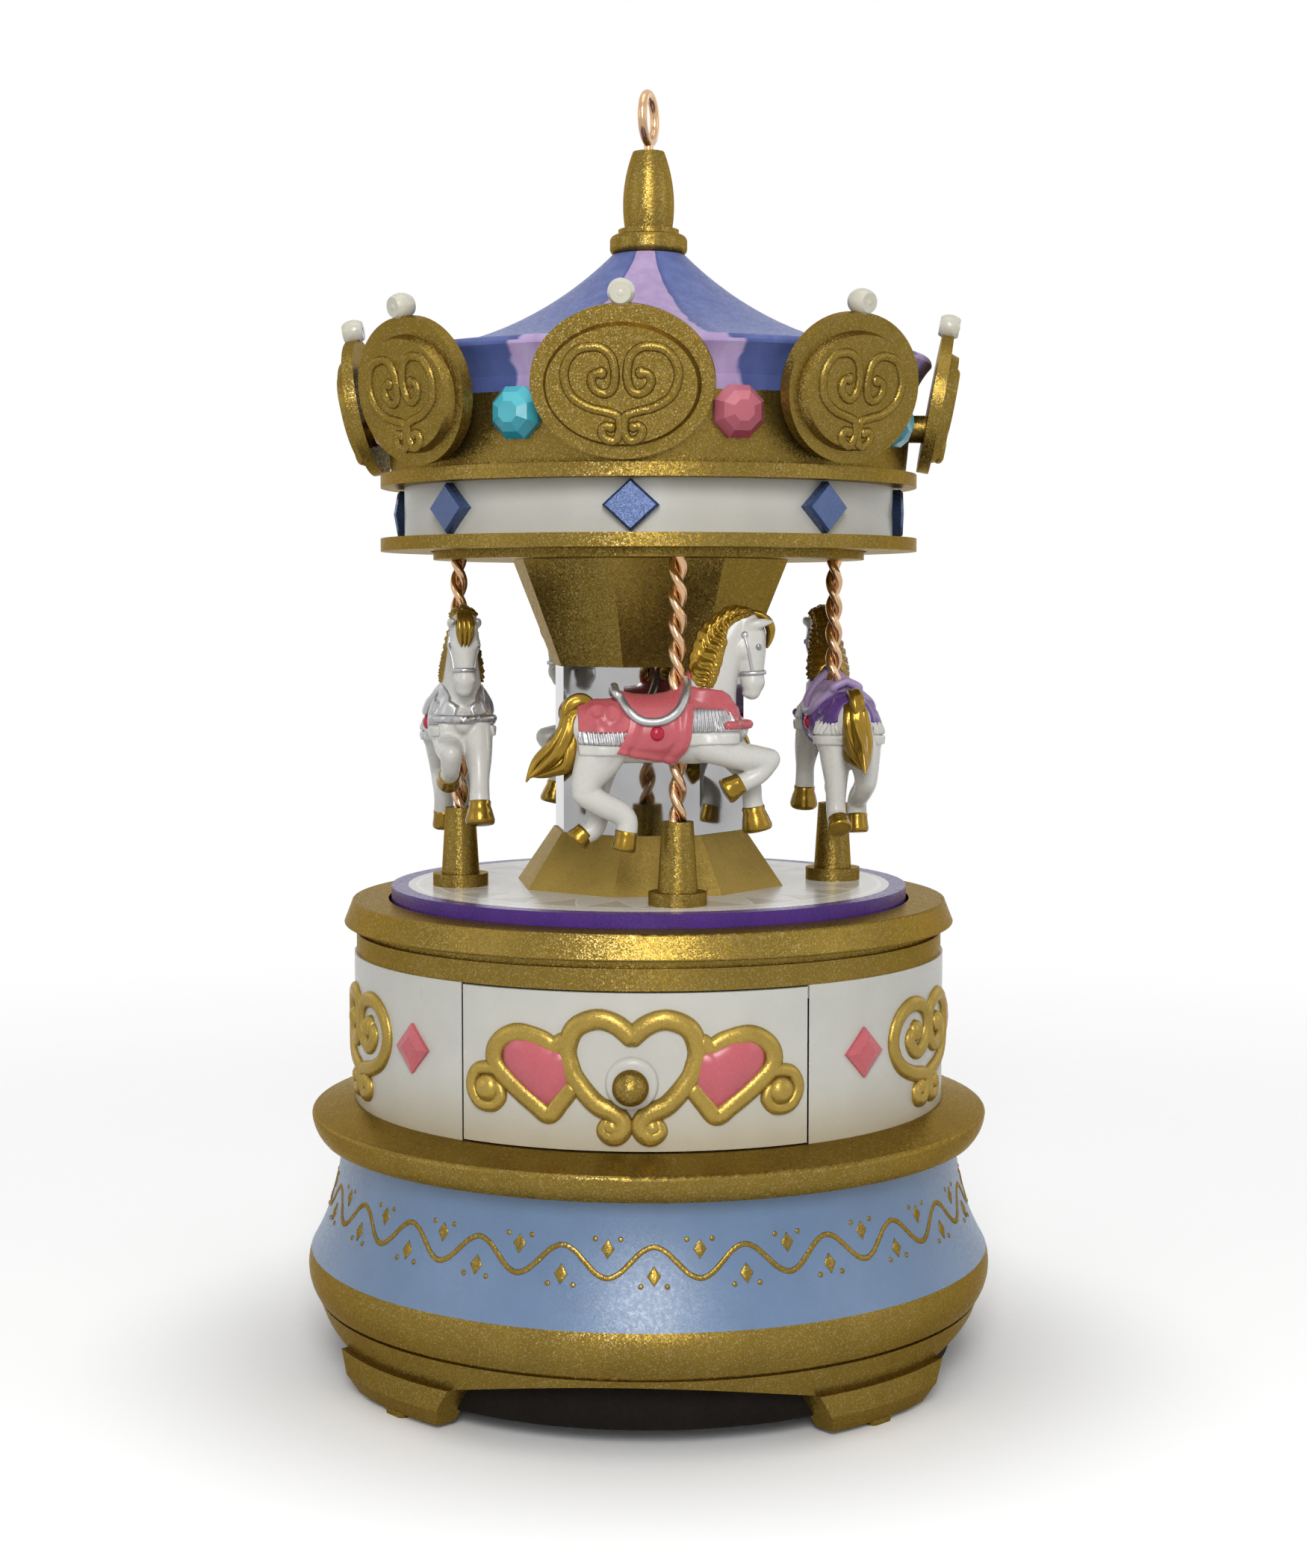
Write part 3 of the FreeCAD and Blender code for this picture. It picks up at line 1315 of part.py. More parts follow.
def make_pins():
    """Pins in line with the comb's teeth, spread round the cylinder by the golden angle."""
    inner = size("cylinder_radius - pin_root")
    outer = size("cylinder_radius + pin_length")
    pins = []
    for number in range(COMB_TEETH * PIN_ROWS):
        angle = math.radians(137.5 * number)
        ray = V(0, math.cos(angle), math.sin(angle))
        foot = cylinder_axis + V(comb_spot(number % COMB_TEETH), 0, 0)
        pins.append(rod(size("pin_radius"), foot + ray * inner, foot + ray * outer))
    return Part.makeCompound(pins)


def make_cylinder_gears():
    bore = size("cylinder_shaft_radius")
    pinion = gear(CYLINDER_PINION_TEETH, size("crown_module"), size("crown_width"), bore, 0)
    wheel = gear(CYLINDER_GEAR_TEETH, size("governor_module"), size("cylinder_gear_thick"), bore, 90)
    return Part.makeCompound([
        along_x(pinion, cylinder_axis, crown_middle - size("crown_width") / 2),
        along_x(wheel, cylinder_axis, gear_start),
    ])


def make_governor():
    """A pinion and two air-brake vanes on one thin shaft."""
    radius = size("governor_shaft_radius")
    turn = 270 + 180 / GOVERNOR_TEETH
    pinion = gear(GOVERNOR_TEETH, size("governor_module"), size("cylinder_gear_thick"), radius / 2, turn)
    shaft_start = V(governor_brackets[0], 0, 0)
    shaft_end = V(governor_brackets[1] + bracket_thick, 0, 0)
    shaft = rod(radius, governor_axis + shaft_start, governor_axis + shaft_end)
    fan = size("fan_radius")
    vane = Part.makeBox(size("fan_length"), 2 * fan, size("fan_thick"),
                        governor_axis + V(fan_start, -fan, -size("fan_thick") / 2))
    return shaft.fuse([along_x(pinion, governor_axis, gear_start), vane])


def bracket(start, axis, bore):
    """A bearing plate standing on the bedplate."""
    width = size("bracket_width")
    height = axis.z + width / 2 - size("bedplate_top")
    plate = Part.makeBox(bracket_thick, width, height, V(start, axis.y - width / 2, size("bedplate_top")))
    foot = axis + V(start, 0, 0)
    return plate.cut(rod(bore + size("run_gap"), foot, foot + V(bracket_thick, 0, 0)))


feature("pin_cylinder", make_cylinder())
feature("cylinder_pins", make_pins())
feature("cylinder_gears", make_cylinder_gears())
feature("governor_fan", make_governor())
shaft_bore = size("cylinder_shaft_radius")
governor_bore = size("governor_shaft_radius")
cylinder_brackets = (cylinder_start - side_gap - bracket_thick, right_bracket)
feature("bearing_brackets", Part.makeCompound(
    [bracket(start, cylinder_axis, shaft_bore) for start in cylinder_brackets]
    + [bracket(start, governor_axis, governor_bore) for start in governor_brackets]))

comb_tip = cylinder_axis.y - size("cylinder_radius + pin_length + comb_gap")
comb_root = comb_tip - size("comb_tooth_length")
comb_back = comb_root - size("comb_heel")
comb_bottom = cylinder_axis.z - size("comb_thick") / 2


def make_comb():
    """A tuned steel comb on its block, the teeth pointing at the cylinder."""
    length = size("cylinder_length")
    thick = size("comb_thick")
    slot = size("comb_slot")
    plate = Part.makeBox(length, comb_tip - comb_back, thick, V(cylinder_start, comb_back, comb_bottom))
    slots = []
    for number in range(1, COMB_TEETH):
        middle = cylinder_start + length * number / COMB_TEETH
        place = V(middle - slot / 2, comb_root, comb_bottom)
        slots.append(Part.makeBox(slot, comb_tip - comb_root, thick, place))
    block_foot = V(cylinder_start, comb_back, size("bedplate_top"))
    block = Part.makeBox(length, size("comb_heel"), comb_bottom - block_foot.z, block_foot)
    return plate.cut(slots).fuse(block).removeSplitter()


def make_comb_screws():
    screws = []
    middle = comb_back + size("comb_heel") / 2
    top = comb_bottom + size("comb_thick")
    for share in (0.2, 0.8):
        spot = V(cylinder_start + share * size("cylinder_length"), middle, top)
        head = rod(size("screw_head_radius"), spot, spot + V(0, 0, size("screw_head_height")))
        shank = rod(size("screw_radius"), spot - V(0, 0, size("screw_length")), spot)
        screws.append(head.fuse(shank).removeSplitter())
    return Part.makeCompound(screws)


comb_screws = make_comb_screws()
feature("comb", make_comb().cut(comb_screws))
feature("comb_screws", comb_screws)


# Every piece is checked before any is written

doc.recompute()
for obj in doc.Objects:
    if "Invalid" in obj.State or "Error" in obj.State:
        raise RuntimeError(f"{obj.Label} failed: {obj.State}")
for obj in pieces:
    if obj.Shape.isNull() or not obj.Shape.isValid():
        raise RuntimeError(f"{obj.Label} has no valid shape")

os.makedirs("parts", exist_ok=True)
for obj in pieces:
    obj.Shape.exportStep(f"parts/{obj.Label}.step")
    print(f"{obj.Label}: {len(obj.Shape.Solids)} solids, {obj.Shape.Volume:.2f} mm3")
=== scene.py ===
"""Looks of the carousel music box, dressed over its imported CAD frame. Metres, the same frame."""
import math

import bpy
from mathutils import Matrix, Vector
from mathutils.bvhtree import BVHTree


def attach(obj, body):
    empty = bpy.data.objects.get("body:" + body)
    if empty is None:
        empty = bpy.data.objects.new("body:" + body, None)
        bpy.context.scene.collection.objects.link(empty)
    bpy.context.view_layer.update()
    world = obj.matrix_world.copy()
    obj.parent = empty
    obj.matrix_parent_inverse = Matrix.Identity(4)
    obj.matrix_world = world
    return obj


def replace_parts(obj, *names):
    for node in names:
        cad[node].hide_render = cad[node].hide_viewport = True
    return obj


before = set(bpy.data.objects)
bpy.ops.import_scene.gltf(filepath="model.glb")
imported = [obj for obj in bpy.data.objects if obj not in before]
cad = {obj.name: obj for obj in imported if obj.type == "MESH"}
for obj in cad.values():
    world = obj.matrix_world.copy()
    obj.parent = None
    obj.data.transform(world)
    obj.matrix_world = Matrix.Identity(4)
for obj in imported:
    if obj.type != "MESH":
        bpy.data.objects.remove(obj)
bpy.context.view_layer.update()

scene = bpy.context.scene
MM = 0.001

# Node helpers


def feed(tree, made, inputs):
    """Sets a node's inputs, given as values or as sockets to link."""
    for key, value in inputs.items():
        if isinstance(value, bpy.types.NodeSocket):
            tree.links.new(value, made.inputs[key])
        else:
            made.inputs[key].default_value = value


def node(tree, kind, inputs=None, **settings):
    """A shader node with its settings and inputs."""
    made = tree.nodes.new("ShaderNode" + kind)
    for key, value in settings.items():
        setattr(made, key, value)
    feed(tree, made, inputs or {})
    return made


def calc(tree, operation, first, second=0.0):
    return node(tree, "Math", {0: first, 1: second}, operation=operation).outputs[0]


def vector_calc(tree, operation, inputs):
    return node(tree, "VectorMath", inputs, operation=operation).outputs[0]


def noise(tree, place, scale, detail):
    return node(tree, "TexNoise", {"Vector": place, "Scale": scale, "Detail": detail}).outputs["Fac"]


def axes(tree, vector):
    return node(tree, "SeparateXYZ", {"Vector": vector}).outputs


def between(tree, value, low, high, to_low=0.0, to_high=1.0, ease="SMOOTHSTEP"):
    """A step of value from low to high, smooth unless ease says otherwise."""
    inputs = {"Value": value, "From Min": low, "From Max": high, "To Min": to_low, "To Max": to_high}
    return node(tree, "MapRange", inputs, interpolation_type=ease).outputs["Result"]


def solid(colour):
    """A colour as a socket takes it, or the socket that gives it."""
    return colour if isinstance(colour, bpy.types.NodeSocket) else (*colour, 1.0)


def mix(tree, factor, first, second):
    return node(tree, "Mix", {0: factor, 6: solid(first), 7: solid(second)}, data_type="RGBA").outputs[2]


def blank(name):
    """A new material: its tree, its shader and the object's own coordinates."""
    material = bpy.data.materials.new(name)
    material.use_nodes = True
    tree = material.node_tree
    return material, tree, tree.nodes["Principled BSDF"], node(tree, "TexCoord").outputs["Object"]


FLAKES = 11000  # flakes to a metre
FLAKE_SHADE = 0.4
FLAKE_TILT = 0.75
DRIFT = 260  # colour patches to a metre
SKIN_DEPTH = 0.03 * MM
UNEVEN = 0.25  # share of the roughness
COAT_ROUGHNESS = 0.22


def finish_paint(tree, shader, place, colour, light, flake, drift, roughness, bump):
    """Lays colour with slow drift, bright flakes, an uneven gloss and a fine orange-peel skin."""
    patches = noise(tree, place, DRIFT, 4.0)
    fine = noise(tree, place, 10 * DRIFT, 3.0)
    value = between(tree, patches, 0.25, 0.75, 1 - drift, 1 + drift)
    shade = node(tree, "HueSaturation", {"Color": solid(colour), "Value": value})
    cells = node(tree, "TexVoronoi", {"Vector": place, "Scale": FLAKES})
    pick = node(tree, "SeparateColor", {"Color": cells.outputs["Color"]}).outputs[0]
    lit = calc(tree, "MULTIPLY", between(tree, pick, 0.72, 1.0), FLAKE_SHADE * flake)
    base = mix(tree, lit, shade.outputs["Color"], light)
    gloss = between(tree, fine, 0.2, 0.8, roughness * (1 - UNEVEN), roughness * (1 + UNEVEN))
    tilt = vector_calc(tree, "SUBTRACT", {0: cells.outputs["Color"], 1: (0.5, 0.5, 0.5)})
    spread = vector_calc(tree, "SCALE", {0: tilt, "Scale": FLAKE_TILT * flake})
    turned = vector_calc(tree, "ADD", {0: node(tree, "NewGeometry").outputs["Normal"], 1: spread})
    facing = vector_calc(tree, "NORMALIZE", {0: turned})
    skin = node(tree, "Bump", {"Strength": bump, "Distance": SKIN_DEPTH, "Height": fine, "Normal": facing})
    feed(tree, shader, {"Base Color": base, "Roughness": gloss, "Normal": skin.outputs["Normal"]})


def paint(name, colour, metallic=0.0, roughness=0.30, flake=0.0, drift=0.06, bump=0.08, coat=0.0, light=None,
          shine=0.3, edge=(1.0, 1.0, 1.0)):
    """A plain painted or metal look. The flakes are of the colour light, and edge tints the highlights."""
    material, tree, shader, place = blank(name)
    feed(tree, shader, {
        "Metallic": metallic, "Specular IOR Level": shine, "Specular Tint": solid(edge), "Coat Weight": coat,
        "Coat Roughness": COAT_ROUGHNESS,
    })
    light = light or tuple(min(1.0, 1.7 * part + 0.05) for part in colour)
    finish_paint(tree, shader, place, colour, light, flake, drift, roughness, bump)
    return material


WARM_FLAKES = (0.85, 0.72, 0.36)
WARM_EDGE = (0.7, 0.55, 0.25)

gold = paint("gold_paint", (0.192, 0.126, 0.022), metallic=0.82, roughness=0.31, flake=0.34, drift=0.07,
             bump=0.10, light=(0.95, 0.86, 0.58), shine=0.4, edge=(0.62, 0.47, 0.20))
# Painted highlight: a lighter copy of the gold paint for the raised scrolls.
gold_lit_relief = paint("gold_lit_relief", (0.33, 0.225, 0.050), metallic=0.55, flake=0.20, drift=0.09, bump=0.10,
                    light=WARM_FLAKES, edge=WARM_EDGE)
# Painted light: a lighter, more diffuse copy of the gold paint for the column skirt.
gold_lit_satin = paint("gold_lit_satin", (0.33, 0.225, 0.051), metallic=0.45, roughness=0.42, flake=0.26, drift=0.07,
                   bump=0.10, light=WARM_FLAKES, edge=WARM_EDGE)
hair_gold = paint("hair_gold", (0.25, 0.15, 0.018), metallic=0.72, roughness=0.22, flake=0.10, drift=0.22,
                  bump=0.10, light=(0.85, 0.66, 0.22))
horse_white = paint("horse_white", (0.58, 0.57, 0.53), drift=0.04, bump=0.05, coat=0.2)
blue = paint("blue_satin", (0.100, 0.168, 0.285), roughness=0.36, flake=0.14, drift=0.05, shine=0.7)
tile_blue = paint("tile_blue", (0.042, 0.082, 0.215), metallic=0.35, roughness=0.27, flake=0.14, drift=0.08,
                  shine=0.8)
purple = paint("purple_paint", (0.070, 0.025, 0.195), roughness=0.28, flake=0.18, drift=0.08,
               light=(0.25, 0.14, 0.55), shine=0.2)
pink = paint("pink_paint", (0.47, 0.095, 0.11), flake=0.05, drift=0.09, coat=0.15)
pink_dome = paint("pink_dome", (0.47, 0.095, 0.115), roughness=0.26, flake=0.06, coat=0.3)
violet = paint("violet_paint", (0.115, 0.05, 0.23), flake=0.06, drift=0.10, coat=0.15)
lilac = paint("lilac_paint", (0.36, 0.26, 0.45), flake=0.06, drift=0.08, coat=0.15)
aqua = paint("aqua_paint", (0.05, 0.23, 0.30), flake=0.06, drift=0.10, coat=0.15)
silver = paint("silver_paint", (0.40, 0.395, 0.40), metallic=0.8, roughness=0.32, flake=0.12, drift=0.12,
               bump=0.1)
red_stone = paint("red_stone", (0.42, 0.004, 0.03), roughness=0.20, drift=0.10, coat=0.1, shine=0.35)
pearl = paint("pearl_bead", (0.58, 0.56, 0.46), roughness=0.26, drift=0.05, bump=0.04, coat=0.3)
wire = paint("brass_wire", (0.58, 0.37, 0.21), metallic=1.0, roughness=0.22, drift=0.12, bump=0.05)
brass = paint("brass", (0.50, 0.36, 0.13), metallic=1.0, drift=0.10)
steel = paint("steel", (0.45, 0.45, 0.46), metallic=1.0, roughness=0.28, drift=0.08)
black = paint("black_plastic", (0.018, 0.018, 0.02), roughness=0.45, drift=0.15, bump=0.2)
# Painted shade: near-black paint for the skirt seen under the arches.
painted_shade_black = paint("painted_shade_black", (0.012, 0.010, 0.008), roughness=0.8, drift=0.15, bump=0.2, shine=0.05)
dark_eye = paint("eye_grey", (0.22, 0.22, 0.235), metallic=0.7, roughness=0.25, drift=0.1, coat=0.5)

LID_LEVEL = 25.0 * MM
LID_BOUNCE_REACH = 7.5 * MM


def drum_white():
    """Pearl white, with a painted warm reflection of the gold lid low down."""
    material, tree, shader, place = blank("pearl_white")
    feed(tree, shader, {"Specular IOR Level": 0.3, "Coat Weight": 0.1})
    height = axes(tree, place)[2]
    # Painted reflection: the white turns warm towards the gold lid below it.
    low = between(tree, height, LID_LEVEL, LID_LEVEL + LID_BOUNCE_REACH, 1.0, 0.0)
    colour = mix(tree, low, (0.515, 0.508, 0.462), (0.43, 0.375, 0.265))
    finish_paint(tree, shader, place, colour, light=(0.70, 0.69, 0.64), flake=0.08, drift=0.03,
                 roughness=0.34, bump=0.05)
    return material


def gem(name, bright, shaded):
    """A cut stone, with painted shade on the facets that face down."""
    material, tree, shader, place = blank(name)
    feed(tree, shader, {"Specular IOR Level": 0.4, "Coat Weight": 0.15})
    facing = axes(tree, node(tree, "NewGeometry").outputs["Normal"])[2]
    # Painted shade: the facets that face down take the darker colour.
    colour = mix(tree, between(tree, facing, -0.55, 0.6), shaded, bright)
    finish_paint(tree, shader, place, colour, light=bright, flake=0.06, drift=0.06, roughness=0.22, bump=0.05)
    return material


def mirror_glass():
    """Silvered plastic with faint smears."""
    material, tree, shader, place = blank("mirror")
    smear = noise(tree, place, 180.0, 5.0)
    tint = mix(tree, between(tree, smear, 0.3, 0.8), (0.42, 0.42, 0.425), (0.34, 0.34, 0.345))
    gloss = between(tree, smear, 0.35, 0.75, 0.02, 0.10)
    feed(tree, shader, {"Metallic": 1.0, "Roughness": gloss, "Base Color": tint})
    return material


def bearing_and_reach(tree, place):
    """The bearing from the front in radians, the distance from the centre post and the height."""
    x, y, z = axes(tree, place)
    bearing = calc(tree, "ARCTAN2", x, calc(tree, "MULTIPLY", y, -1.0))
    flat = node(tree, "CombineXYZ", {"X": x, "Y": y})
    reach = node(tree, "VectorMath", {0: flat.outputs[0]}, operation="LENGTH").outputs["Value"]
    return bearing, reach, z


CROWN_TURN = -1.7  # degrees
EAVE_LEVEL = 96.0 * MM
ROOF_LEVEL = 106.4 * MM
ROOF_PANELS = 4
PANEL_LOW = 19.5  # half a panel at the eave, in degrees
PANEL_HIGH = 13.5  # and up the slope
VALANCE_SPREAD = 3.0  # degrees more on the valance
BRUSH_WANDER = 0.9  # degrees


def roof_stripes():
    """Four lilac panels on blue, brushed by hand, wider on the valance than on the slope; painted shade on
    the valance.
    """
    material, tree, shader, place = blank("roof_paint")
    feed(tree, shader, {"Specular IOR Level": 0.2})
    bearing, _, height = bearing_and_reach(tree, place)
    turn = calc(tree, "SUBTRACT", bearing, math.radians(CROWN_TURN))
    panels = calc(tree, "ADD", calc(tree, "DIVIDE", turn, 2 * math.pi / ROOF_PANELS), 0.5)
    share = calc(tree, "SUBTRACT", calc(tree, "FRACT", panels), 0.5)
    away = calc(tree, "MULTIPLY", calc(tree, "ABSOLUTE", share), 360 / ROOF_PANELS)
    wobble = noise(tree, place, 420.0, 3.0)
    away = calc(tree, "ADD", away, between(tree, wobble, 0.2, 0.8, -BRUSH_WANDER, BRUSH_WANDER))
    slope = between(tree, height, EAVE_LEVEL, ROOF_LEVEL, PANEL_LOW, PANEL_HIGH)
    valance = calc(tree, "LESS_THAN", height, EAVE_LEVEL)
    half = calc(tree, "ADD", slope, calc(tree, "MULTIPLY", valance, VALANCE_SPREAD))
    past = calc(tree, "SUBTRACT", away, half)
    on_blue = between(tree, past, -0.5, 0.5)
    seam = calc(tree, "MULTIPLY", on_blue, between(tree, past, 0.5, 5.0, 1.0, 0.0))
    stretched = node(tree, "Mapping", {"Vector": place, "Scale": (1.0, 1.0, 0.12)}).outputs[0]
    streak = noise(tree, stretched, 900.0, 3.0)
    field = mix(tree, between(tree, streak, 0.3, 0.75), (0.080, 0.110, 0.290), (0.115, 0.150, 0.370))
    field = mix(tree, calc(tree, "MULTIPLY", seam, 0.6), field, (0.045, 0.058, 0.20))
    # Painted shade: the blue is darker on the valance, under the roof's edge.
    field = mix(tree, calc(tree, "MULTIPLY", valance, 0.5), field, (0.062, 0.085, 0.24))
    panel = mix(tree, between(tree, streak, 0.3, 0.75), (0.38, 0.275, 0.48), (0.44, 0.335, 0.54))
    colour = mix(tree, on_blue, panel, field)
    finish_paint(tree, shader, place, colour, light=(0.6, 0.62, 0.8), flake=0.06, drift=0.04, roughness=0.40,
                 bump=0.10)
    return material


FLOOR_POINTS = 24
FLOOR_INNER = 15.2 * MM
FLOOR_OUTER = 20.6 * MM
FLOOR_EDGE = 22.4 * MM
FLOOR_LINE = 0.14 * MM


def floor_star():
    """A pale floor with a ring of taupe points drawn in thin white lines."""
    material, tree, shader, place = blank("floor_paint")
    feed(tree, shader, {"Specular IOR Level": 0.25})
    bearing, reach, _ = bearing_and_reach(tree, place)
    turn = calc(tree, "MULTIPLY", bearing, FLOOR_POINTS / (2 * math.pi))
    tooth = calc(tree, "ABSOLUTE", calc(tree, "SUBTRACT", calc(tree, "FRACT", turn), 0.5))
    crest = between(tree, tooth, 0.0, 0.5, FLOOR_INNER, FLOOR_OUTER, "LINEAR")
    below = calc(tree, "SUBTRACT", reach, crest)
    point = calc(tree, "MULTIPLY", between(tree, below, 0.0, FLOOR_LINE),
                 between(tree, reach, FLOOR_OUTER, FLOOR_OUTER + FLOOR_LINE, 1.0, 0.0))
    drawn = 0.0
    for offset in (below, *(calc(tree, "SUBTRACT", reach, ring) for ring in (FLOOR_OUTER, FLOOR_EDGE))):
        away = calc(tree, "ABSOLUTE", offset)
        line = between(tree, away, FLOOR_LINE, 1.6 * FLOOR_LINE, 1.0, 0.0)
        drawn = calc(tree, "MAXIMUM", drawn, line)
    colour = mix(tree, point, (0.70, 0.685, 0.64), (0.56, 0.52, 0.45))
    colour = mix(tree, drawn, colour, (0.84, 0.835, 0.81))
    finish_paint(tree, shader, place, colour, light=(0.75, 0.74, 0.7), flake=0.05, drift=0.03, roughness=0.22,
                 bump=0.04)
    return material


white = drum_white()
mirror = mirror_glass()
pink_stone = gem("pink_stone", (0.56, 0.175, 0.215), (0.31, 0.052, 0.078))
teal_stone = gem("teal_stone", (0.10, 0.53, 0.61), (0.014, 0.23, 0.30))
roof_paint = roof_stripes()
floor_paint = floor_star()

LOOKS = {
    gold: ("plinth", "base_lid", "drawer_knob", "cornice", "column_core", "column_funnel", "ceiling_disc",
           "pole_sockets", "canopy_floor", "upper_ring", "crown_band", "medallions", "finial", "foot_pads"),
    gold_lit_satin: ("column_skirt",),
    white: ("drum_shell", "drawer_front", "drawer_tray", "drawer_guides", "knob_boss", "fascia"),
    blue: ("cove_band",),
    tile_blue: ("fascia_tiles",),
    purple: ("turntable_rim",),
    pink: ("drum_diamonds",),
    pink_dome: ("drawer_hearts",),
    floor_paint: ("turntable_floor",),
    roof_paint: ("roof",),
    mirror: ("mirror_panels",),
    pink_stone: ("pink_gems",),
    teal_stone: ("teal_gems",),
    pearl: ("pearls",),
    wire: ("poles", "eyelet"),
    horse_white: ("horse_front", "horse_right", "horse_back", "horse_left"),
    brass: ("turntable_gear", "turntable_bushes", "bedplate", "shaft_bushes", "drive_pinion", "shaft_gear",
            "spring_barrel", "pin_cylinder", "cylinder_gears", "bearing_brackets"),
    steel: ("cover_screws", "deck", "center_post", "drive_shaft", "mainspring", "winding_arbor",
            "winding_key", "cylinder_pins", "governor_fan", "comb", "comb_screws"),
    black: ("bottom_cover",),
}
for look, names in LOOKS.items():
    for name in names:
        cad[name].data.materials.clear()
        cad[name].data.materials.append(look)

# Mesh helpers, in millimetres


def spline(t, a, b, c, d):
    """A smooth step from b to c, steered by the values before and after."""
    bend = (2 * a - 5 * b + 4 * c - d) * t ** 2
    turn = (3 * b - a - 3 * c + d) * t ** 3
    return 0.5 * (2 * b + (c - a) * t + bend + turn)


def shares(count):
    """Even shares from nothing to one."""
    return [step / count for step in range(count + 1)]


def blend(first, second, share):
    """The point at a share of the way from one point to another."""
    return [near + (far - near) * share for near, far in zip(first, second)]


def smooth_path(points, steps):
    """A curve through the given points, with so many steps to each span."""
    path = []
    last = len(points) - 1
    for span in range(last):
        knots = (points[max(span - 1, 0)], points[span], points[span + 1], points[min(span + 2, last)])
        for step in range(steps):
            path.append(tuple(spline(step / steps, *values) for values in zip(*knots)))
    path.append(tuple(points[-1]))
    return path


def along(knots, x):
    """The height at x on a line through (x, z) knots."""
    if x <= knots[0][0]:
        return knots[0][1]
    for (x0, z0), (x1, z1) in zip(knots, knots[1:]):
        if x <= x1:
            return z0 + (z1 - z0) * (x - x0) / (x1 - x0)
    return knots[-1][1]


END_BENDS = [math.radians(bend) for bend in (25, 50, 75)]
BEAD_ROWS = 8
BEAD_CORNERS = 16
DOME_RINGS = (
    (1.0, -0.3), (1.0, 0.08), (0.93, 0.34), (0.8, 0.6), (0.62, 0.82), (0.38, 0.95), (0.1, 1.0),
)  # scale, lift


class Shape:
    """Closed skins gathered as points and faces before they become one mesh."""

    def __init__(self):
        self.points = []
        self.faces = []

    def skin(self, rings):
        """Joins rings of points and caps both ends."""
        first = len(self.points)
        count = len(rings[0])
        for ring in rings:
            self.points.extend(ring)
        for row in range(len(rings) - 1):
            for corner in range(count):
                a = first + row * count + corner
                b = first + row * count + (corner + 1) % count
                self.faces.append((a, b, b + count, a + count))
        last = first + (len(rings) - 1) * count
        self.faces.append(tuple(first + corner for corner in reversed(range(count))))
        self.faces.append(tuple(last + corner for corner in range(count)))

    def tube(self, stations, count=16, normals=None, ribs=0, depth=0.0, twist=0.0, blunt=False):
        """A tube through stations of (x, y, z, half width, half height), rounded at its ends unless blunt."""
        centres = [Vector(station[:3]) for station in stations]
        rings = []
        last = len(stations) - 1
        for index, station in enumerate(stations):
            ahead = (centres[min(index + 1, last)] - centres[max(index - 1, 0)]).normalized()
            if normals:
                across = normals[index].cross(ahead)
            else:
                across = Vector((0, 1, 0)) - ahead * ahead.y
                if across.length <= 0.2:
                    across = Vector((1, 0, 0)).cross(ahead)
            across.normalize()
            up = ahead.cross(across)
            steps = [(0.0, 1.0)]
            if not blunt and index in (0, last):
                reach = min(station[3], station[4])
                steps += [(reach * math.sin(bend), math.cos(bend)) for bend in END_BENDS]
                if index == 0:
                    steps = [(-push, scale) for push, scale in reversed(steps)]
            for push, scale in steps:
                ring = []
                for corner in range(count):
                    angle = 2 * math.pi * corner / count
                    swell = scale * (1 + depth * math.cos(ribs * angle + twist * index))
                    spread = across * (station[3] * math.cos(angle)) + up * (station[4] * math.sin(angle))
                    ring.append(centres[index] + ahead * push + spread * swell)
                rings.append(ring)
        self.skin(rings)

    def sheet(self, grid, thick):
        """A closed plate: rows of (point, outward normal, lift), sunk by thick at its back and edges."""
        rings = []
        for row in grid:
            front = [point + normal * lift for point, normal, lift in row]
            back = [point - normal * thick for point, normal, lift in reversed(row)]
            rings.append(front + back)
        self.skin(rings)

    def bead(self, centre, normal, wide, high):
        """A flattened dome of the given half sizes on a surface."""
        side = normal.orthogonal().normalized()
        other = normal.cross(side)
        rings = []
        for step in range(1, BEAD_ROWS):
            lean = math.pi * step / BEAD_ROWS - math.pi / 2
            ring = []
            for corner in range(BEAD_CORNERS):
                angle = 2 * math.pi * corner / BEAD_CORNERS
                out = (side * math.cos(angle) + other * math.sin(angle)) * (wide * math.cos(lean))
                ring.append(centre + out + normal * (high * math.sin(lean)))
            rings.append(ring)
        self.skin(rings)


def add(name, data):
    """A new object in the scene."""
    obj = bpy.data.objects.new(name, data)
    scene.collection.objects.link(obj)
    return obj


def piece(name, shape, material, body, place=Matrix.Identity(4)):
    """A visible piece in metres that moves with a body."""
    mesh = bpy.data.meshes.new(name)
    mesh.from_pydata([tuple((place @ Vector(point)) * MM) for point in shape.points], [], shape.faces)
    mesh.validate()
    mesh.polygons.foreach_set("use_smooth", [True] * len(mesh.polygons))
    mesh.materials.append(material)
    obj = add(name, mesh)
    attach(obj, body)
    return obj


def scroll(shape, path, wide, high, carry, start_bead=0.0, end_bead=0.0, steps=8, tail=0.0, sink=0.0):
    """A raised band along a flat path, laid on the surface that carry gives as (point, normal)."""
    curve = smooth_path(path, steps)
    placed = [(point - normal * sink, normal) for point, normal in (carry(*spot) for spot in curve)]
    stations = []
    for share, (point, _) in zip(shares(len(placed) - 1), placed):
        slim = 1 - tail * max(0.0, 1 - 4 * (1 - share))
        stations.append((*point, wide * slim, high * slim))
    shape.tube(stations, count=14, normals=[normal for _, normal in placed])
    for size, (point, normal) in ((start_bead, placed[0]), (end_bead, placed[-1])):
        if size:
            shape.bead(point, normal, size, max(high, 0.75 * size))


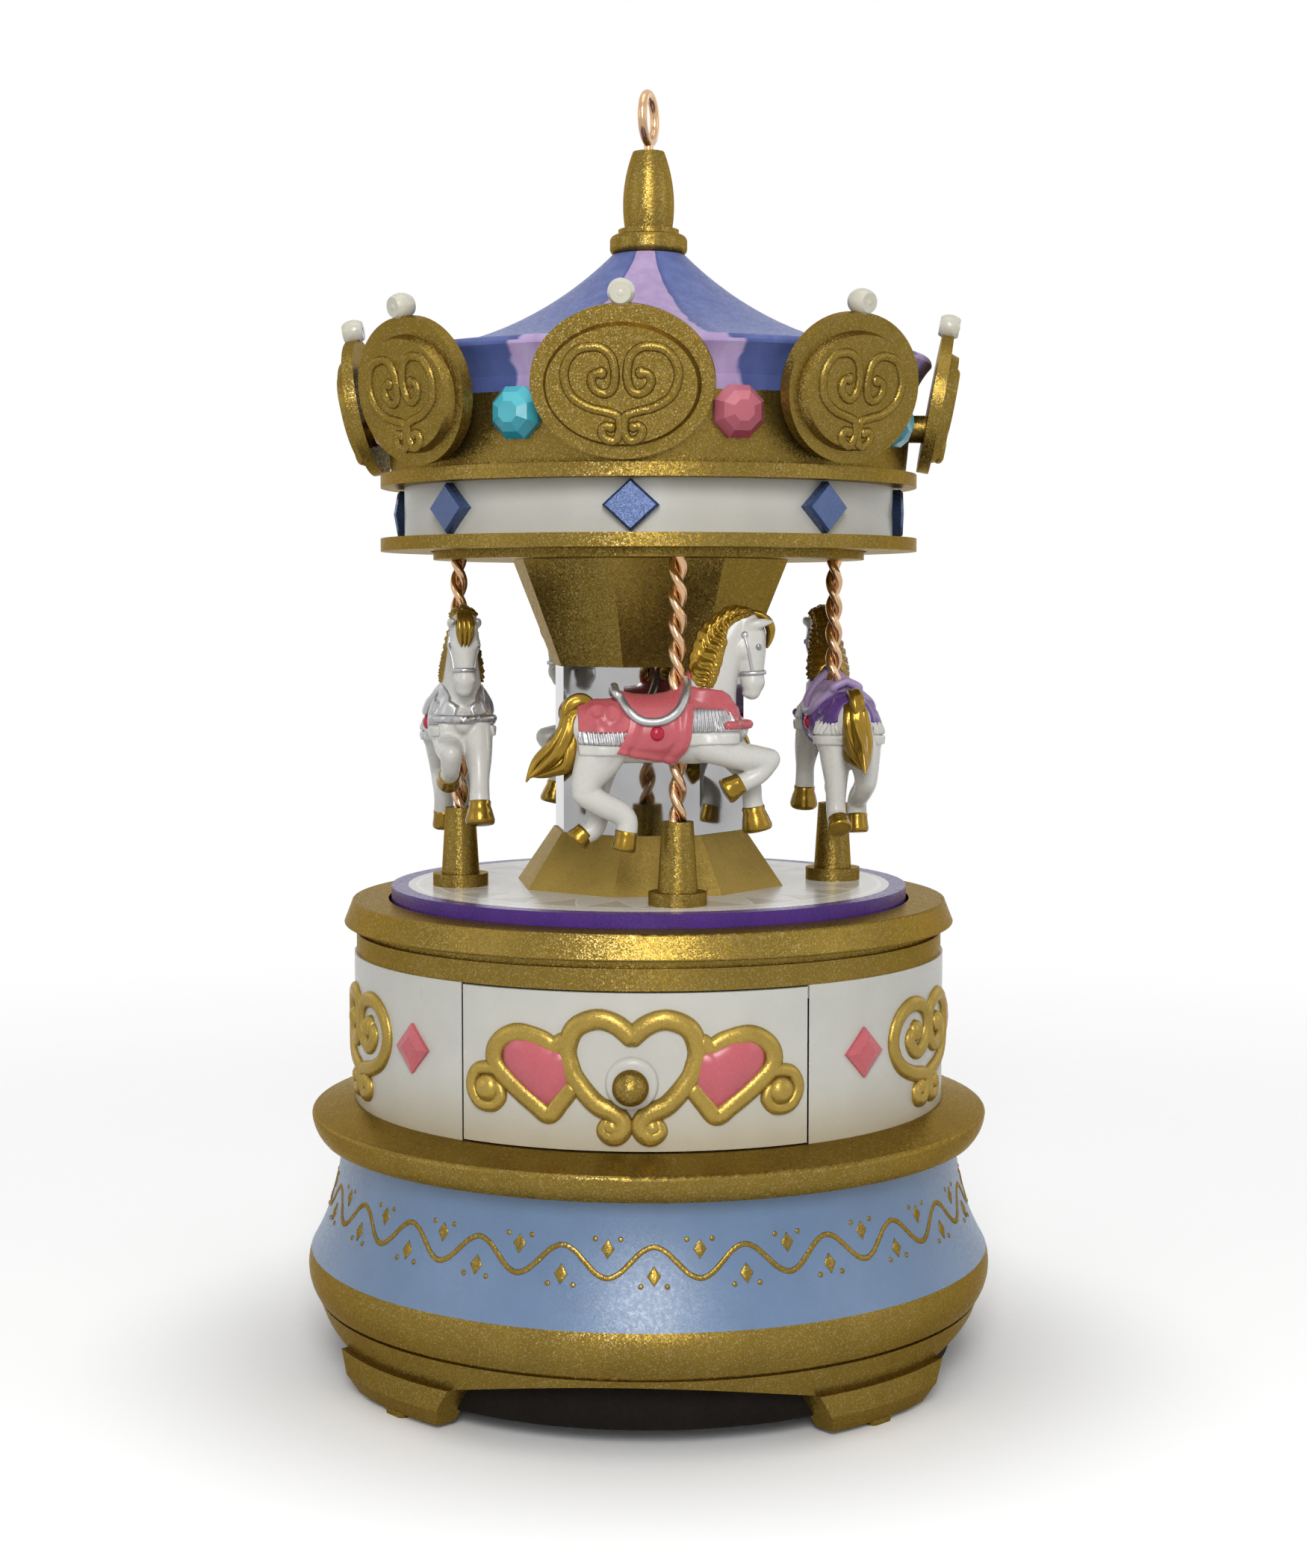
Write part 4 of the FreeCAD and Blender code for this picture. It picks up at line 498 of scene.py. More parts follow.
def dome(shape, outline, high, carry):
    """A pillow over a flat outline, laid on the surface that carry gives."""
    middle = [sum(spot[axis] for spot in outline) / len(outline) for axis in (0, 1)]
    rings = []
    for scale, lift in DOME_RINGS:
        ring = []
        for spot in outline:
            point, normal = carry(*blend(middle, spot, scale))
            ring.append(point + normal * (lift * high))
        rings.append(ring)
    shape.skin(rings)


def round_wall(radius):
    """Points on an upright cylinder, from the distance along its chord and the height."""
    def carry(x, z):
        y = -math.sqrt(radius ** 2 - x ** 2)
        return Vector((x, y, z)), Vector((x, y, 0)) / radius
    return carry


def outward(angle):
    """The level way out from the centre post, at a bearing from the front in radians."""
    return Vector((math.sin(angle), -math.cos(angle), 0))


def wrapped_wall(radius, bearing, level):
    """Points on an upright cylinder, from distances along its face about a bearing and a level."""
    def carry(u, v):
        out = outward(math.radians(bearing) + u / radius)
        return out * radius + Vector((0, 0, level + v)), out
    return carry


def mirrored(path):
    return [(-x, z) for x, z in path]


def both_ways(path):
    return path, mirrored(path)


# Scrolls, hearts and boss of the drawer

DRUM_RADIUS = 28.5
DRAWER_HEART = [
    (0.0, 36.06), (1.4, 37.2), (3.1, 37.6), (4.9, 36.8), (5.65, 35.0), (5.4, 33.4), (4.8, 32.15), (3.1, 30.2),
    (1.5, 29.4), (0.8, 28.55), (1.0, 27.75), (1.75, 27.4), (2.4, 27.85), (2.2, 28.5), (1.75, 28.2),
]
SIDE_HEART = [
    (6.0, 35.55), (6.85, 35.1), (8.0, 35.7), (10.2, 36.1), (11.9, 35.0), (12.1, 33.3), (10.6, 31.6),
    (8.5, 29.9), (7.25, 29.1), (6.2, 30.3), (5.3, 31.5),
]
END_SPIRAL = [
    (11.2, 32.5), (12.5, 32.8), (13.8, 32.5), (14.28, 31.1), (13.6, 29.7), (12.35, 29.5), (11.6, 30.4),
    (12.0, 31.3), (12.8, 31.0),
]
DRAWER_PATHS = [  # path, half width, height, end bead, share lost at the tail
    (DRAWER_HEART, 0.92, 0.66, 0.85, 0.52),
    (SIDE_HEART, 0.86, 0.58, 0.0, 0.0),
    (END_SPIRAL, 0.62, 0.54, 1.3, 0.3),
]
HEART_FILL = smooth_path([
    (6.5, 35.0), (7.4, 35.4), (8.8, 35.9), (10.4, 35.8), (11.3, 34.9), (11.3, 33.3), (10.0, 31.7),
    (8.2, 30.2), (7.2, 29.8), (6.1, 30.7), (5.2, 31.9), (5.1, 33.3), (5.2, 34.4), (5.75, 34.9), (6.5, 35.0),
], 4)
HEART_RISE = 0.85
BOSS_PROFILE = [  # distance from the centre post, share of the radius
    (28.0, 1.0), (28.85, 1.0), (29.08, 0.97), (29.22, 0.9), (29.3, 0.78), (29.32, 0.5), (29.33, 0.1),
]

drawer_face = round_wall(DRUM_RADIUS)
drawer_scrolls = Shape()
for path, wide, high, end_bead, tail in DRAWER_PATHS:
    for way in both_ways(path):
        scroll(drawer_scrolls, way, wide, high, drawer_face, end_bead=end_bead, tail=tail)
piece("drawer_scrolls", drawer_scrolls, gold_lit_relief, "drawer")

heart_fills = Shape()
dome(heart_fills, HEART_FILL[:-1], HEART_RISE, drawer_face)
dome(heart_fills, mirrored(HEART_FILL[:0:-1]), HEART_RISE, drawer_face)
fills = piece("drawer_heart_fills", heart_fills, pink_dome, "drawer")
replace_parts(fills, "drawer_hearts")

boss_x, _, boss_z = zip(*(vertex.co / MM for vertex in cad["knob_boss"].data.vertices))
boss_level = (min(boss_z) + max(boss_z)) / 2
boss_radius = (max(boss_x) - min(boss_x)) / 2
boss = Shape()
boss.tube([(0, -out, boss_level, boss_radius * share, boss_radius * share) for out, share in BOSS_PROFILE],
          count=40, blunt=True)
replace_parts(piece("knob_boss_round", boss, white, "drawer"), "knob_boss")

# Scrolls of the drum

DRUM_LEVEL = 33.2
DRUM_BEARINGS = (67.5, 112.5, 157.5, -157.5, -112.5, -67.5)
DRUM_WIDEN = 1.55
DRUM_HEIGHTEN = 1.12
DRUM_HEART = [
    (1.9, 0.95), (2.6, 0.4), (2.2, -0.5), (1.4, -0.85), (0.5, -0.2), (0.1, 1.0), (0.35, 2.2), (1.2, 3.0),
    (2.7, 3.1), (4.0, 2.1), (4.45, 0.3), (3.7, -1.5), (2.2, -2.5), (0.6, -2.95), (0.2, -3.3), (0.35, -4.3),
    (0.75, -4.95), (1.5, -4.75), (1.65, -4.1), (1.2, -3.85),
]

drum_scrolls = Shape()
for bearing in DRUM_BEARINGS:
    face = wrapped_wall(DRUM_RADIUS, bearing, DRUM_LEVEL)
    for path in both_ways([(DRUM_WIDEN * x, DRUM_HEIGHTEN * z) for x, z in DRUM_HEART]):
        scroll(drum_scrolls, path, wide=0.75, high=0.55, carry=face, start_bead=1.05, end_bead=0.9)
piece("drum_scrolls", drum_scrolls, gold_lit_relief, "base")

# Scrolls and pearls of the medallions

MEDALLIONS = 8
CROWN_BEARINGS = [360 / MEDALLIONS * step + CROWN_TURN for step in range(MEDALLIONS)]
MEDALLION_TILT = math.radians(10.2)
MEDALLION_SPOT = Vector((0, -26.8, 92.3))
MEDALLION_CREST = 1.95
MEDALLION_HEART = [
    (1.68, 0.82), (2.33, 0.68), (2.54, 0.05), (2.14, -0.65), (1.33, -0.93), (0.7, -0.42), (0.51, 0.75),
    (0.75, 2.03), (1.44, 2.77), (2.38, 3.0), (3.77, 2.68), (4.66, 1.56), (4.82, 0.28), (4.24, -1.12),
    (2.84, -2.05), (1.33, -2.45), (0.42, -2.75), (0.2, -3.3), (0.22, -4.2), (0.65, -4.9), (1.4, -4.72),
    (1.75, -4.15), (1.45, -3.65), (0.95, -3.75),
]
PEARL_LEVEL = 7.43
PEARL_MIDDLE = 0.55
PLUG_RADIUS = 0.34
PLUG_PROFILE = ((-0.5, 1.0), (0.92, 1.0), (0.97, 0.8), (1.0, 0.4))  # out from the middle, share of the radius


def medallion_face(bearing, crest=MEDALLION_CREST):
    """Points on a medallion's raised oval, from distances across and up its face."""
    turn = Matrix.Rotation(math.radians(bearing), 3, "Z")
    lean = Matrix.Rotation(math.radians(90) + MEDALLION_TILT, 3, "X")

    def carry(u, v):
        point = turn @ (lean @ Vector((u, v, crest)) + MEDALLION_SPOT)
        return point, turn @ (lean @ Vector((0, 0, 1)))
    return carry


medallion_scrolls = Shape()
for bearing in CROWN_BEARINGS:
    for path in both_ways(MEDALLION_HEART):
        scroll(medallion_scrolls, path, wide=0.45, high=0.46, carry=medallion_face(bearing), start_bead=0.58,
               end_bead=0.52, steps=6, sink=0.14)
piece("medallion_scrolls", medallion_scrolls, gold, "base")

pearl_plugs = Shape()
for bearing in CROWN_BEARINGS:
    stations = []
    for out, share in PLUG_PROFILE:
        point, _ = medallion_face(bearing, PEARL_MIDDLE + out)(0, PEARL_LEVEL)
        stations.append((*point, PLUG_RADIUS * share, PLUG_RADIUS * share))
    pearl_plugs.tube(stations, blunt=True)
piece("pearl_plugs", pearl_plugs, pearl, "base")

# Horses: x forward from the pole, y to the horse's left, z up, in millimetres

SIDES = (-1, 1)
POLE_CIRCLE = 18.3
TORSO = [(-9.3, 61.0, 0.9, 1.5), (-8.6, 61.4, 1.9, 2.6), (-7.0, 61.8, 2.5, 2.9), (-4.5, 61.9, 2.65, 2.8),
         (-1.5, 62.0, 2.7, 2.9), (1.5, 62.3, 2.6, 3.3), (3.8, 62.4, 2.3, 3.0), (4.9, 62.2, 1.75, 2.1),
         (5.55, 62.2, 0.9, 1.1)]  # x, z, half width, half height
NECK = [(2.3, 62.8, 2.2, 3.0), (3.0, 66.2, 1.8, 2.4), (4.1, 69.0, 1.4, 1.85), (5.3, 71.1, 1.15, 1.4),
        (6.1, 71.9, 1.0, 1.05)]
HEAD = [(6.1, 72.0, 1.05, 1.1), (6.45, 70.7, 1.32, 1.5), (6.6, 69.2, 1.28, 1.42), (6.75, 67.9, 1.02, 1.15),
        (6.8, 67.1, 0.95, 1.02), (6.8, 66.2, 1.08, 1.12), (6.75, 65.5, 0.85, 0.8)]
LEGS = [  # side, then stations of x, z, half width, half depth
    (-1.35, [(2.6, 60.9, 1.5, 1.8), (5.0, 59.85, 1.35, 1.3), (6.6, 59.6, 1.2, 1.2), (8.1, 59.45, 1.0, 1.0)]),
    (-1.35, [(8.0, 59.35, 1.05, 1.05), (7.2, 58.2, 0.92, 0.92), (6.2, 57.55, 0.86, 0.84),
             (5.2, 57.25, 0.95, 0.9)]),
    (1.35, [(4.2, 61.2, 1.5, 1.9), (6.0, 58.9, 1.25, 1.3), (6.9, 57.0, 0.95, 0.98), (7.05, 55.6, 0.95, 0.9),
            (7.2, 54.8, 1.0, 1.0)]),
    (-1.3, [(-6.5, 61.6, 1.7, 2.5), (-7.4, 59.5, 1.65, 2.1), (-8.3, 57.8, 1.3, 1.5),
            (-8.6, 56.5, 1.05, 1.15)]),
    (-1.3, [(-8.5, 56.5, 1.05, 1.2), (-7.1, 55.6, 0.98, 1.15), (-5.6, 54.9, 0.95, 1.1),
            (-4.8, 54.15, 0.95, 0.98), (-4.8, 53.0, 0.98, 0.98)]),
    (1.3, [(-6.2, 61.2, 1.7, 2.3), (-6.9, 58.5, 1.45, 1.6), (-7.2, 56.0, 1.05, 1.1), (-7.1, 54.3, 0.95, 1.05),
           (-7.5, 53.1, 0.95, 0.95), (-8.2, 52.7, 0.95, 0.95)]),
]
MUSCLES = [(-6.9, 1.7, 60.6, 1.6, 2.1), (3.9, 1.6, 61.6, 1.4, 2.0)]  # x, y, z, radius, half height
EAR = [(6.3, 1.05, 71.35, 0.40, 0.46), (7.3, 1.25, 71.6, 0.40, 0.46), (8.4, 1.1, 71.75, 0.14, 0.161)]
FACE = [  # brow, cheek and nostril: x, y, z, radius, half height
    (7.1, 0.98, 69.6, 0.5, 0.42), (5.9, 0.75, 69.4, 1.0, 0.66), (7.35, 0.6, 66.3, 0.42, 0.42),
]
CHIN = Vector((6.5, 0, 65.3))
VOXEL = 0.15


def rod_path(side, stations):
    return [(x, side, z, wide, deep) for x, z, wide, deep in smooth_path(stations, 6)]


def horse_body():
    """The white body, its limbs melted into one skin."""
    rough = Shape()
    rough.tube(rod_path(0, TORSO), count=28)
    rough.tube(rod_path(0, NECK), count=24)
    rough.tube(rod_path(0, HEAD), count=24)
    for side, stations in LEGS:
        rough.tube(rod_path(side, stations), count=18)
    for x, y, z, radius, tall in MUSCLES:
        for side in SIDES:
            rough.bead(Vector((x, side * y, z)), Vector((0, 0, 1)), radius, tall)
    for side in (1, -1):
        ear = [(x, side * y, z, wide, deep) for x, y, z, wide, deep in EAR]
        rough.tube(smooth_path(ear, 4), count=12)
        for x, y, z, radius, tall in FACE:
            rough.bead(Vector((x, side * y, z)), Vector((0, side, 0)), radius, tall)
    rough.bead(CHIN, Vector((0, 0, 1)), 0.7, 0.42)
    shell = bpy.data.meshes.new("horse_rough")
    shell.from_pydata([tuple(point) for point in rough.points], [], rough.faces)
    holder = add("horse_rough", shell)
    melt = holder.modifiers.new("melt", "REMESH")
    melt.mode = "VOXEL"
    melt.voxel_size = VOXEL
    soften = holder.modifiers.new("soften", "SMOOTH")
    soften.factor = 0.5
    soften.iterations = 7
    evaluated = holder.evaluated_get(bpy.context.evaluated_depsgraph_get())
    melted = bpy.data.meshes.new_from_object(evaluated)
    bpy.data.objects.remove(holder)
    bpy.data.meshes.remove(shell)
    body = Shape()
    body.points = [vertex.co.copy() for vertex in melted.vertices]
    body.faces = [tuple(polygon.vertices) for polygon in melted.polygons]
    bpy.data.meshes.remove(melted)
    return body


horse = horse_body()
horse_tree = BVHTree.FromPolygons([tuple(point) for point in horse.points], horse.faces)

TORSO_AXIS = 62.2
OUTSIDE = 12  # further out than any part of the horse
BODY_REACH = 5
DRAPE_STEP = 0.04
DRAPE_LIMIT = 2.6


def on_side(x, z, side):
    """The horse's skin seen from one side at x, z."""
    point, normal = horse_tree.ray_cast(Vector((x, OUTSIDE * side, z)), Vector((0, -side, 0)))[:2]
    if point is None or point.y * side < 0:
        return Vector((x, 0.05 * side, z)), Vector((0, side, 0))
    return point, normal


def on_back(x, angle):
    """The horse's skin at x, seen from inside the body at an angle from straight up."""
    way = Vector((0, math.sin(angle), math.cos(angle)))
    point, _, _, reach = horse_tree.ray_cast(Vector((x, 0, TORSO_AXIS)), way)
    if point is None or reach > BODY_REACH:
        return Vector((x, 0, TORSO_AXIS)) + way * 3, way
    return point, way


def drape_angle(x, low):
    """How far down the side a cloth at x hangs to reach the given level."""
    angle = 0.0
    while angle < DRAPE_LIMIT and on_back(x, angle)[0].z > low:
        angle += DRAPE_STEP
    return angle


def over_back(x_from, x_to, columns, rows, hem, lift):
    """A cloth over the back from x to x, down to its hem on both sides, raised by lift(x, share)."""
    grid = []
    for across in shares(columns):
        x = x_from + (x_to - x_from) * across
        reach = drape_angle(x, along(hem, x))
        row = []
        for share in (2 * down - 1 for down in shares(rows)):
            point, normal = on_back(x, reach * share)
            row.append((point, normal, lift(x, share)))
        grid.append(row)
    return grid


def part_way(path, share):
    """The point at a share of a path's knots."""
    index = min(int(share * (len(path) - 1)), len(path) - 2)
    return blend(path[index], path[index + 1], share * (len(path) - 1) - index)


def between_edges(left, right):
    """Spots between two edges of (x, z) knots, each from its foot to its top."""
    left = smooth_path(left, 6)
    right = smooth_path(right, 6)

    def spot(across, up):
        return blend(part_way(left, up), part_way(right, up), across)
    return spot


def side_plate(side, columns, rows, spot, lift):
    """A grid on one side of the horse at spot(across, up), raised by lift(across, up)."""
    grid = []
    for across in shares(columns):
        row = []
        for up in shares(rows):
            point, normal = on_side(*spot(across, up), side)
            row.append((point, normal, lift(across, up)))
        grid.append(row if side < 0 else row[::-1])
    return grid


def lock(shape, path, thick, count=12, flat=0.8):
    """A tapering strand of hair with twisted grooves."""
    curve = smooth_path(path, 7)
    stations = []
    for share, spot in zip(shares(len(curve) - 1), curve):
        girth = thick * (0.55 + 0.9 * share * (1 - share) * 2) * (1 - 0.75 * share ** 4)
        stations.append((*spot, girth, flat * girth))
    shape.tube(stations, count=count, ribs=4, depth=0.16, twist=0.22)


def edge_soft(share):
    """Falls from one to nothing at both ends of a span of 0 to 1."""
    return min(1.0, 7 * share, 7 * (1 - share))


def ridge(value, middle, reach):
    """A soft ridge of height one at the middle."""
    return math.exp(-((value - middle) / reach) ** 2)


def even_rod(spots, half):
    """Tube stations of one thickness."""
    return [(*spot, half, half) for spot in spots]


# Tack: blanket with collar and chest strap, flaps, saddle, ribbed bands and bridle

CLOTH_SINK = 0.3
PLATE_SINK = 0.35
CLOTH_LIFT = 0.24
CLOTH_CURLS = ((-7.6, 0.55, 0.8), (-6.2, 0.62, 0.7))  # x, share of the way down, reach
BLANKET_HEM = [(-9.3, 62.3), (-8.8, 62.05), (-5.0, 62.1), (-4.4, 62.6), (0.9, 63.2)]
COLLAR_START = 0.4
COLLAR_LENGTH = 5.2
COLLAR_FOOT = [(0.0, 63.6), (0.2, 64.0), (0.67, 63.8), (0.85, 62.4), (1.0, 62.3)]  # share of the length, z
COLLAR_TOP = [(0.0, 66.3), (0.22, 65.9), (0.45, 65.85), (0.64, 65.7), (0.78, 65.2), (0.9, 64.2), (1.0, 62.7)]
CHEST = Vector((3.2, 0, 62.55))
CHEST_TURNS = range(-72, 73, 6)  # degrees from straight ahead


def cloth_fold(x, share):
    """The blanket's lift, with raised curls pressed into each side."""
    fold = CLOTH_LIFT + 0.03 * math.sin(3.1 * x + 7 * share)
    for spot, down, reach in CLOTH_CURLS:
        away = math.hypot((x - spot) / reach, (abs(share) - down) / 0.2)
        fold += 0.15 * ridge(away, 0.9, 0.3)
    return fold


def collar_spot(across, up):
    foot = along(COLLAR_FOOT, across)
    top = along(COLLAR_TOP, across)
    return COLLAR_START + COLLAR_LENGTH * across, foot + (top - foot) * up


def collar_lift(across, up):
    return CLOTH_LIFT * edge_soft(up) + 0.05 * math.sin(9 * across)


blanket = Shape()
blanket.sheet(over_back(-9.15, 1.0, 70, 60, BLANKET_HEM, cloth_fold), CLOTH_SINK)
for side in SIDES:
    blanket.sheet(side_plate(side, 28, 14, collar_spot, collar_lift), PLATE_SINK)
chest_strap = []
for turn in CHEST_TURNS:
    way = Vector((math.cos(math.radians(turn)), math.sin(math.radians(turn)), 0))
    chest_strap.append(horse_tree.ray_cast(CHEST, way)[0] + 0.08 * way)
blanket.tube(smooth_path(even_rod(chest_strap, 0.42), 3), count=12)

FLAP_LIFT = 0.36
FLAP_LEFT = [(-6.05, 60.2), (-5.3, 61.4), (-4.8, 62.4), (-4.7, 63.6)]
FLAP_RIGHT = [(-0.5, 59.4), (0.55, 60.8), (0.85, 62.6), (1.1, 64.4)]
FLAP_FOLDS = ((0.10, 0.90, 0.06), (0.08, 0.10, 0.07), (-0.08, 0.78, 0.05), (-0.05, 0.22, 0.05))
FLAP_HEMS = ((0.09, 0.06, 0.05), (-0.05, 0.16, 0.05))  # height, middle, reach


def flap_lift(across, up):
    """A flap with raised and sunk hems, and an oval ring pressed into it."""
    oval = math.hypot((across - 0.56) * 3.4, (up - 0.55) * 2.4)
    lift = FLAP_LIFT + 0.07 * ridge(oval, 0.7, 0.16)
    lift += sum(high * ridge(across, middle, reach) for high, middle, reach in FLAP_FOLDS)
    return lift + sum(high * ridge(up, middle, reach) for high, middle, reach in FLAP_HEMS)


flap = Shape()
for side in SIDES:
    flap.sheet(side_plate(side, 70, 40, between_edges(FLAP_LEFT, FLAP_RIGHT), flap_lift), PLATE_SINK)

SEAT_LIFT = 0.42
SEAT_RIM = [
    (-5.7, 65.5), (-5.3, 64.5), (-4.75, 63.6), (-3.8, 62.95), (-2.6, 62.75), (-1.4, 63.0), (-0.3, 63.7),
    (0.4, 64.7), (0.75, 65.8),
]
SEAT_TOP = [(-5.7, 65.9), (-5.1, 65.6), (-4.0, 65.35), (-2.4, 65.3), (-1.0, 65.5), (0.0, 66.0), (0.75, 66.7)]
CANTLE = [(-5.7, 1.15, 65.4), (-5.75, 0.0, 65.95), (-5.7, -1.15, 65.4)]
POMMEL = [(0.75, -1.0, 66.1), (0.85, 0.0, 66.75), (0.75, 1.0, 66.1)]
CANTLE_HALF = 0.40
RIM_HALF = 0.42
RIM_LIFT = 0.5


def seat_lift(x, share):
    """The saddle's lift, hollow between its cantle and its pommel."""
    top = on_back(x, 0.0)[0].z
    return SEAT_LIFT + max(0.0, along(SEAT_TOP, x) - top - SEAT_LIFT) * (1 - share * share)


def rim_side(side):
    """Spots of the saddle's rim down one side of the horse."""
    spots = []
    for x, z in SEAT_RIM[1:-1]:
        point, normal = on_side(x, min(z, on_back(x, 0.0)[0].z - 0.25), side)
        spots.append(point + normal * RIM_LIFT)
    return spots


saddle = Shape()
saddle.sheet(over_back(-5.65, 0.7, 36, 26, SEAT_RIM, seat_lift), CLOTH_SINK)
rim = Shape()
rim_front = even_rod([*rim_side(-1), *POMMEL, *reversed(rim_side(1))], RIM_HALF)
cantle = even_rod(CANTLE, CANTLE_HALF)
rim.tube(smooth_path([*cantle[1:], *rim_front, *cantle[:2]], 6), count=14)

RIB_PITCH = 0.40
ribbed = Shape()
plain_bands = Shape()


def band(shape, side, columns, rows, left, right, ribs):
    """A strip of trim, ribbed across when ribs are asked for."""
    length = right[0][0] - left[0][0]

    def plain(_, up):
        return 0.24 * edge_soft(up) ** 0.5

    def wavy(across, up):
        wave = math.sin(2 * math.pi * (across * length / RIB_PITCH + 0.55 * up))
        return (0.18 + 0.11 * wave) * edge_soft(up)
    grid = side_plate(side, columns, rows, between_edges(left, right), wavy if ribs else plain)
    shape.sheet(grid, CLOTH_SINK)


for side in SIDES:
    band(ribbed, side, 80, 8, [(-9.0, 60.95), (-9.0, 62.2)], [(-4.75, 60.75), (-4.75, 62.2)], ribs=True)
    band(plain_bands, side, 30, 6, [(-9.0, 59.95), (-9.05, 60.95)], [(-5.7, 59.95), (-5.5, 60.8)], ribs=False)
    band(ribbed, side, 80, 10, [(0.9, 61.9), (1.2, 64.2)], [(5.0, 61.95), (4.3, 63.95)], ribs=True)
    band(plain_bands, side, 30, 8, [(0.6, 60.75), (0.8, 61.9)], [(5.1, 60.9), (5.1, 61.9)], ribs=False)

JEWEL_SPOT = (-2.3, 61.9)
EYE_SPOT = (7.1, 69.5)
ROSETTE_SPOT = (5.85, 70.55)
CHEEK_STRAP = ((5.85, 70.5), (6.1, 69.4), (6.35, 68.4), (6.6, 67.3))
STRAP_LIFT = 0.03
NOSE = Vector((6.75, 0, 67.15))
NOSE_TURNS = 24
NOSE_TILT = 0.05
NOSE_REACH = 3
jewel = Shape()
eyes = Shape()
bridle = Shape()
for side in SIDES:
    point, normal = on_side(*JEWEL_SPOT, side)
    jewel.bead(point + normal * 0.32, normal, wide=0.66, high=0.44)
    point, normal = on_side(*EYE_SPOT, side)
    eyes.bead(point, normal, wide=0.27, high=0.16)
    point, normal = on_side(*ROSETTE_SPOT, side)
    bridle.bead(point, normal, wide=0.34, high=0.22)
    strap = []
    for spot in CHEEK_STRAP:
        point, normal = on_side(*spot, side)
        strap.append((*(point + normal * STRAP_LIFT), 0.16, 0.14))
    bridle.tube(smooth_path(strap, 5), count=10)
nose_strap = []
for angle in (2 * math.pi * share for share in shares(NOSE_TURNS)):
    way = Vector((math.cos(angle), math.sin(angle), NOSE_TILT * math.cos(angle))).normalized()
    point, _, _, reach = horse_tree.ray_cast(NOSE, way)
    if point is not None and reach < NOSE_REACH:
        nose_strap.append(point + way * STRAP_LIFT)
bridle.tube(smooth_path(even_rod(nose_strap, 0.22), 3), count=10)

# Hair and hooves

MANE_BACK = smooth_path([
    (7.2, 72.7), (5.8, 73.15), (4.7, 73.1), (3.7, 72.5), (2.69, 71.7), (1.95, 70.8), (1.5, 69.66),
    (1.15, 68.4), (1.03, 67.2), (1.3, 66.4), (1.74, 65.9),
], 8)
MANE_FRONT = smooth_path([
    (7.2, 72.5), (6.2, 72.1), (5.3, 71.75), (4.55, 71.2), (4.3, 70.5), (4.35, 69.8), (4.1, 69.1),
    (3.9, 68.2), (3.6, 67.3), (3.3, 66.5), (2.95, 65.9),
], 8)
MANE_LOCKS = 11
MANE_STEPS = 18
MANE_SLANT = 3.2  # locks crossed on the way to the neck
MANE_HALF = 0.95
MANE_COVER = 0.34  # over the skin of the neck
MANE_GROOVE = 0.42
FORELOCK = [  # x, share of the strand's offset, z
    (5.8, 0.8, 72.6), (7.1, 1.0, 72.45), (8.0, 1.3, 71.95), (8.4, 1.5, 71.1), (8.35, 1.4, 70.2),
    (8.1, 1.0, 69.4),
]
FORELOCK_OFFSETS = (-0.3, 0.0, 0.3)
TAIL_MIDDLE = [
    [(-7.5, 64.1), (-8.6, 64.8), (-9.7, 64.4), (-10.05, 63.5), (-9.7, 62.6), (-9.2, 62.0)],
    [(-8.6, 63.9), (-9.8, 63.4), (-10.3, 62.0), (-11.3, 60.6), (-12.7, 59.3), (-13.6, 57.6)],
    [(-9.0, 63.0), (-9.7, 61.4), (-10.0, 59.8), (-10.9, 58.8), (-12.0, 58.3), (-12.9, 58.0)],
]
TAIL_SIDES = [  # on both sides
    [(-8.4, 0.4, 63.9), (-9.6, 0.5, 63.3), (-10.0, 0.6, 61.8), (-10.9, 0.6, 60.2), (-12.2, 0.4, 58.9),
     (-13.4, 0.1, 57.9)],
    [(-8.6, 0.3, 63.4), (-9.5, 0.4, 62.2), (-9.7, 0.5, 60.4), (-10.2, 0.5, 59.0), (-11.3, 0.4, 58.5),
     (-12.6, 0.2, 58.1)],
]
HOOVES = [  # side, x and z at the pastern, x and z at the sole, girth at each
    (-1.35, (5.6, 57.4), (4.0, 56.5), 0.95, 1.2), (1.35, (7.1, 55.1), (7.6, 52.75), 0.98, 1.4),
    (-1.3, (-4.8, 53.25), (-5.1, 51.35), 0.95, 1.1), (1.3, (-8.1, 53.0), (-9.1, 52.0), 0.95, 1.15),
]
HOOF_PROFILE = [  # share of the way down, shares of the pastern's and the sole's girth
    (0.0, 0.9, 0.0), (0.08, 1.08, 0.0), (0.25, 1.05, 0.0), (0.45, 0.5, 0.5), (0.8, 0.0, 1.0),
    (0.92, 0.0, 0.97), (0.98, 0.0, 0.88), (1.0, 0.0, 0.72),
]


def mane_row(back, front, share, side):
    """Points across one side of the mane, from its back edge to the neck, in wavy locks."""
    row = []
    end = math.sqrt(min(1.0, 5 * share + 0.1, 5 * (1 - share) + 0.1))
    for across in shares(MANE_STEPS):
        x, z = blend(back, front, across)
        skin = abs(on_side(x, z, side)[0].y)
        wander = 0.42 * math.sin(2.6 * math.pi * across + 5 * share + side)
        phase = MANE_LOCKS * share - MANE_SLANT * across + wander
        groove = abs(math.sin(math.pi * phase)) - 0.55 + 0.12 * math.sin(2 * math.pi * (3 * phase + across))
        inner = min(1.0, 4 * (1 - across))
        outer = min(1.0, 3.2 * across)
        wide = skin - 0.1
        if across < 0.97:
            wide = max(skin + MANE_COVER * inner * end, MANE_HALF * math.sqrt(outer) * end)
        row.append(Vector((x, side * max(0.08, wide + MANE_GROOVE * groove * inner * outer), z)))
    return row


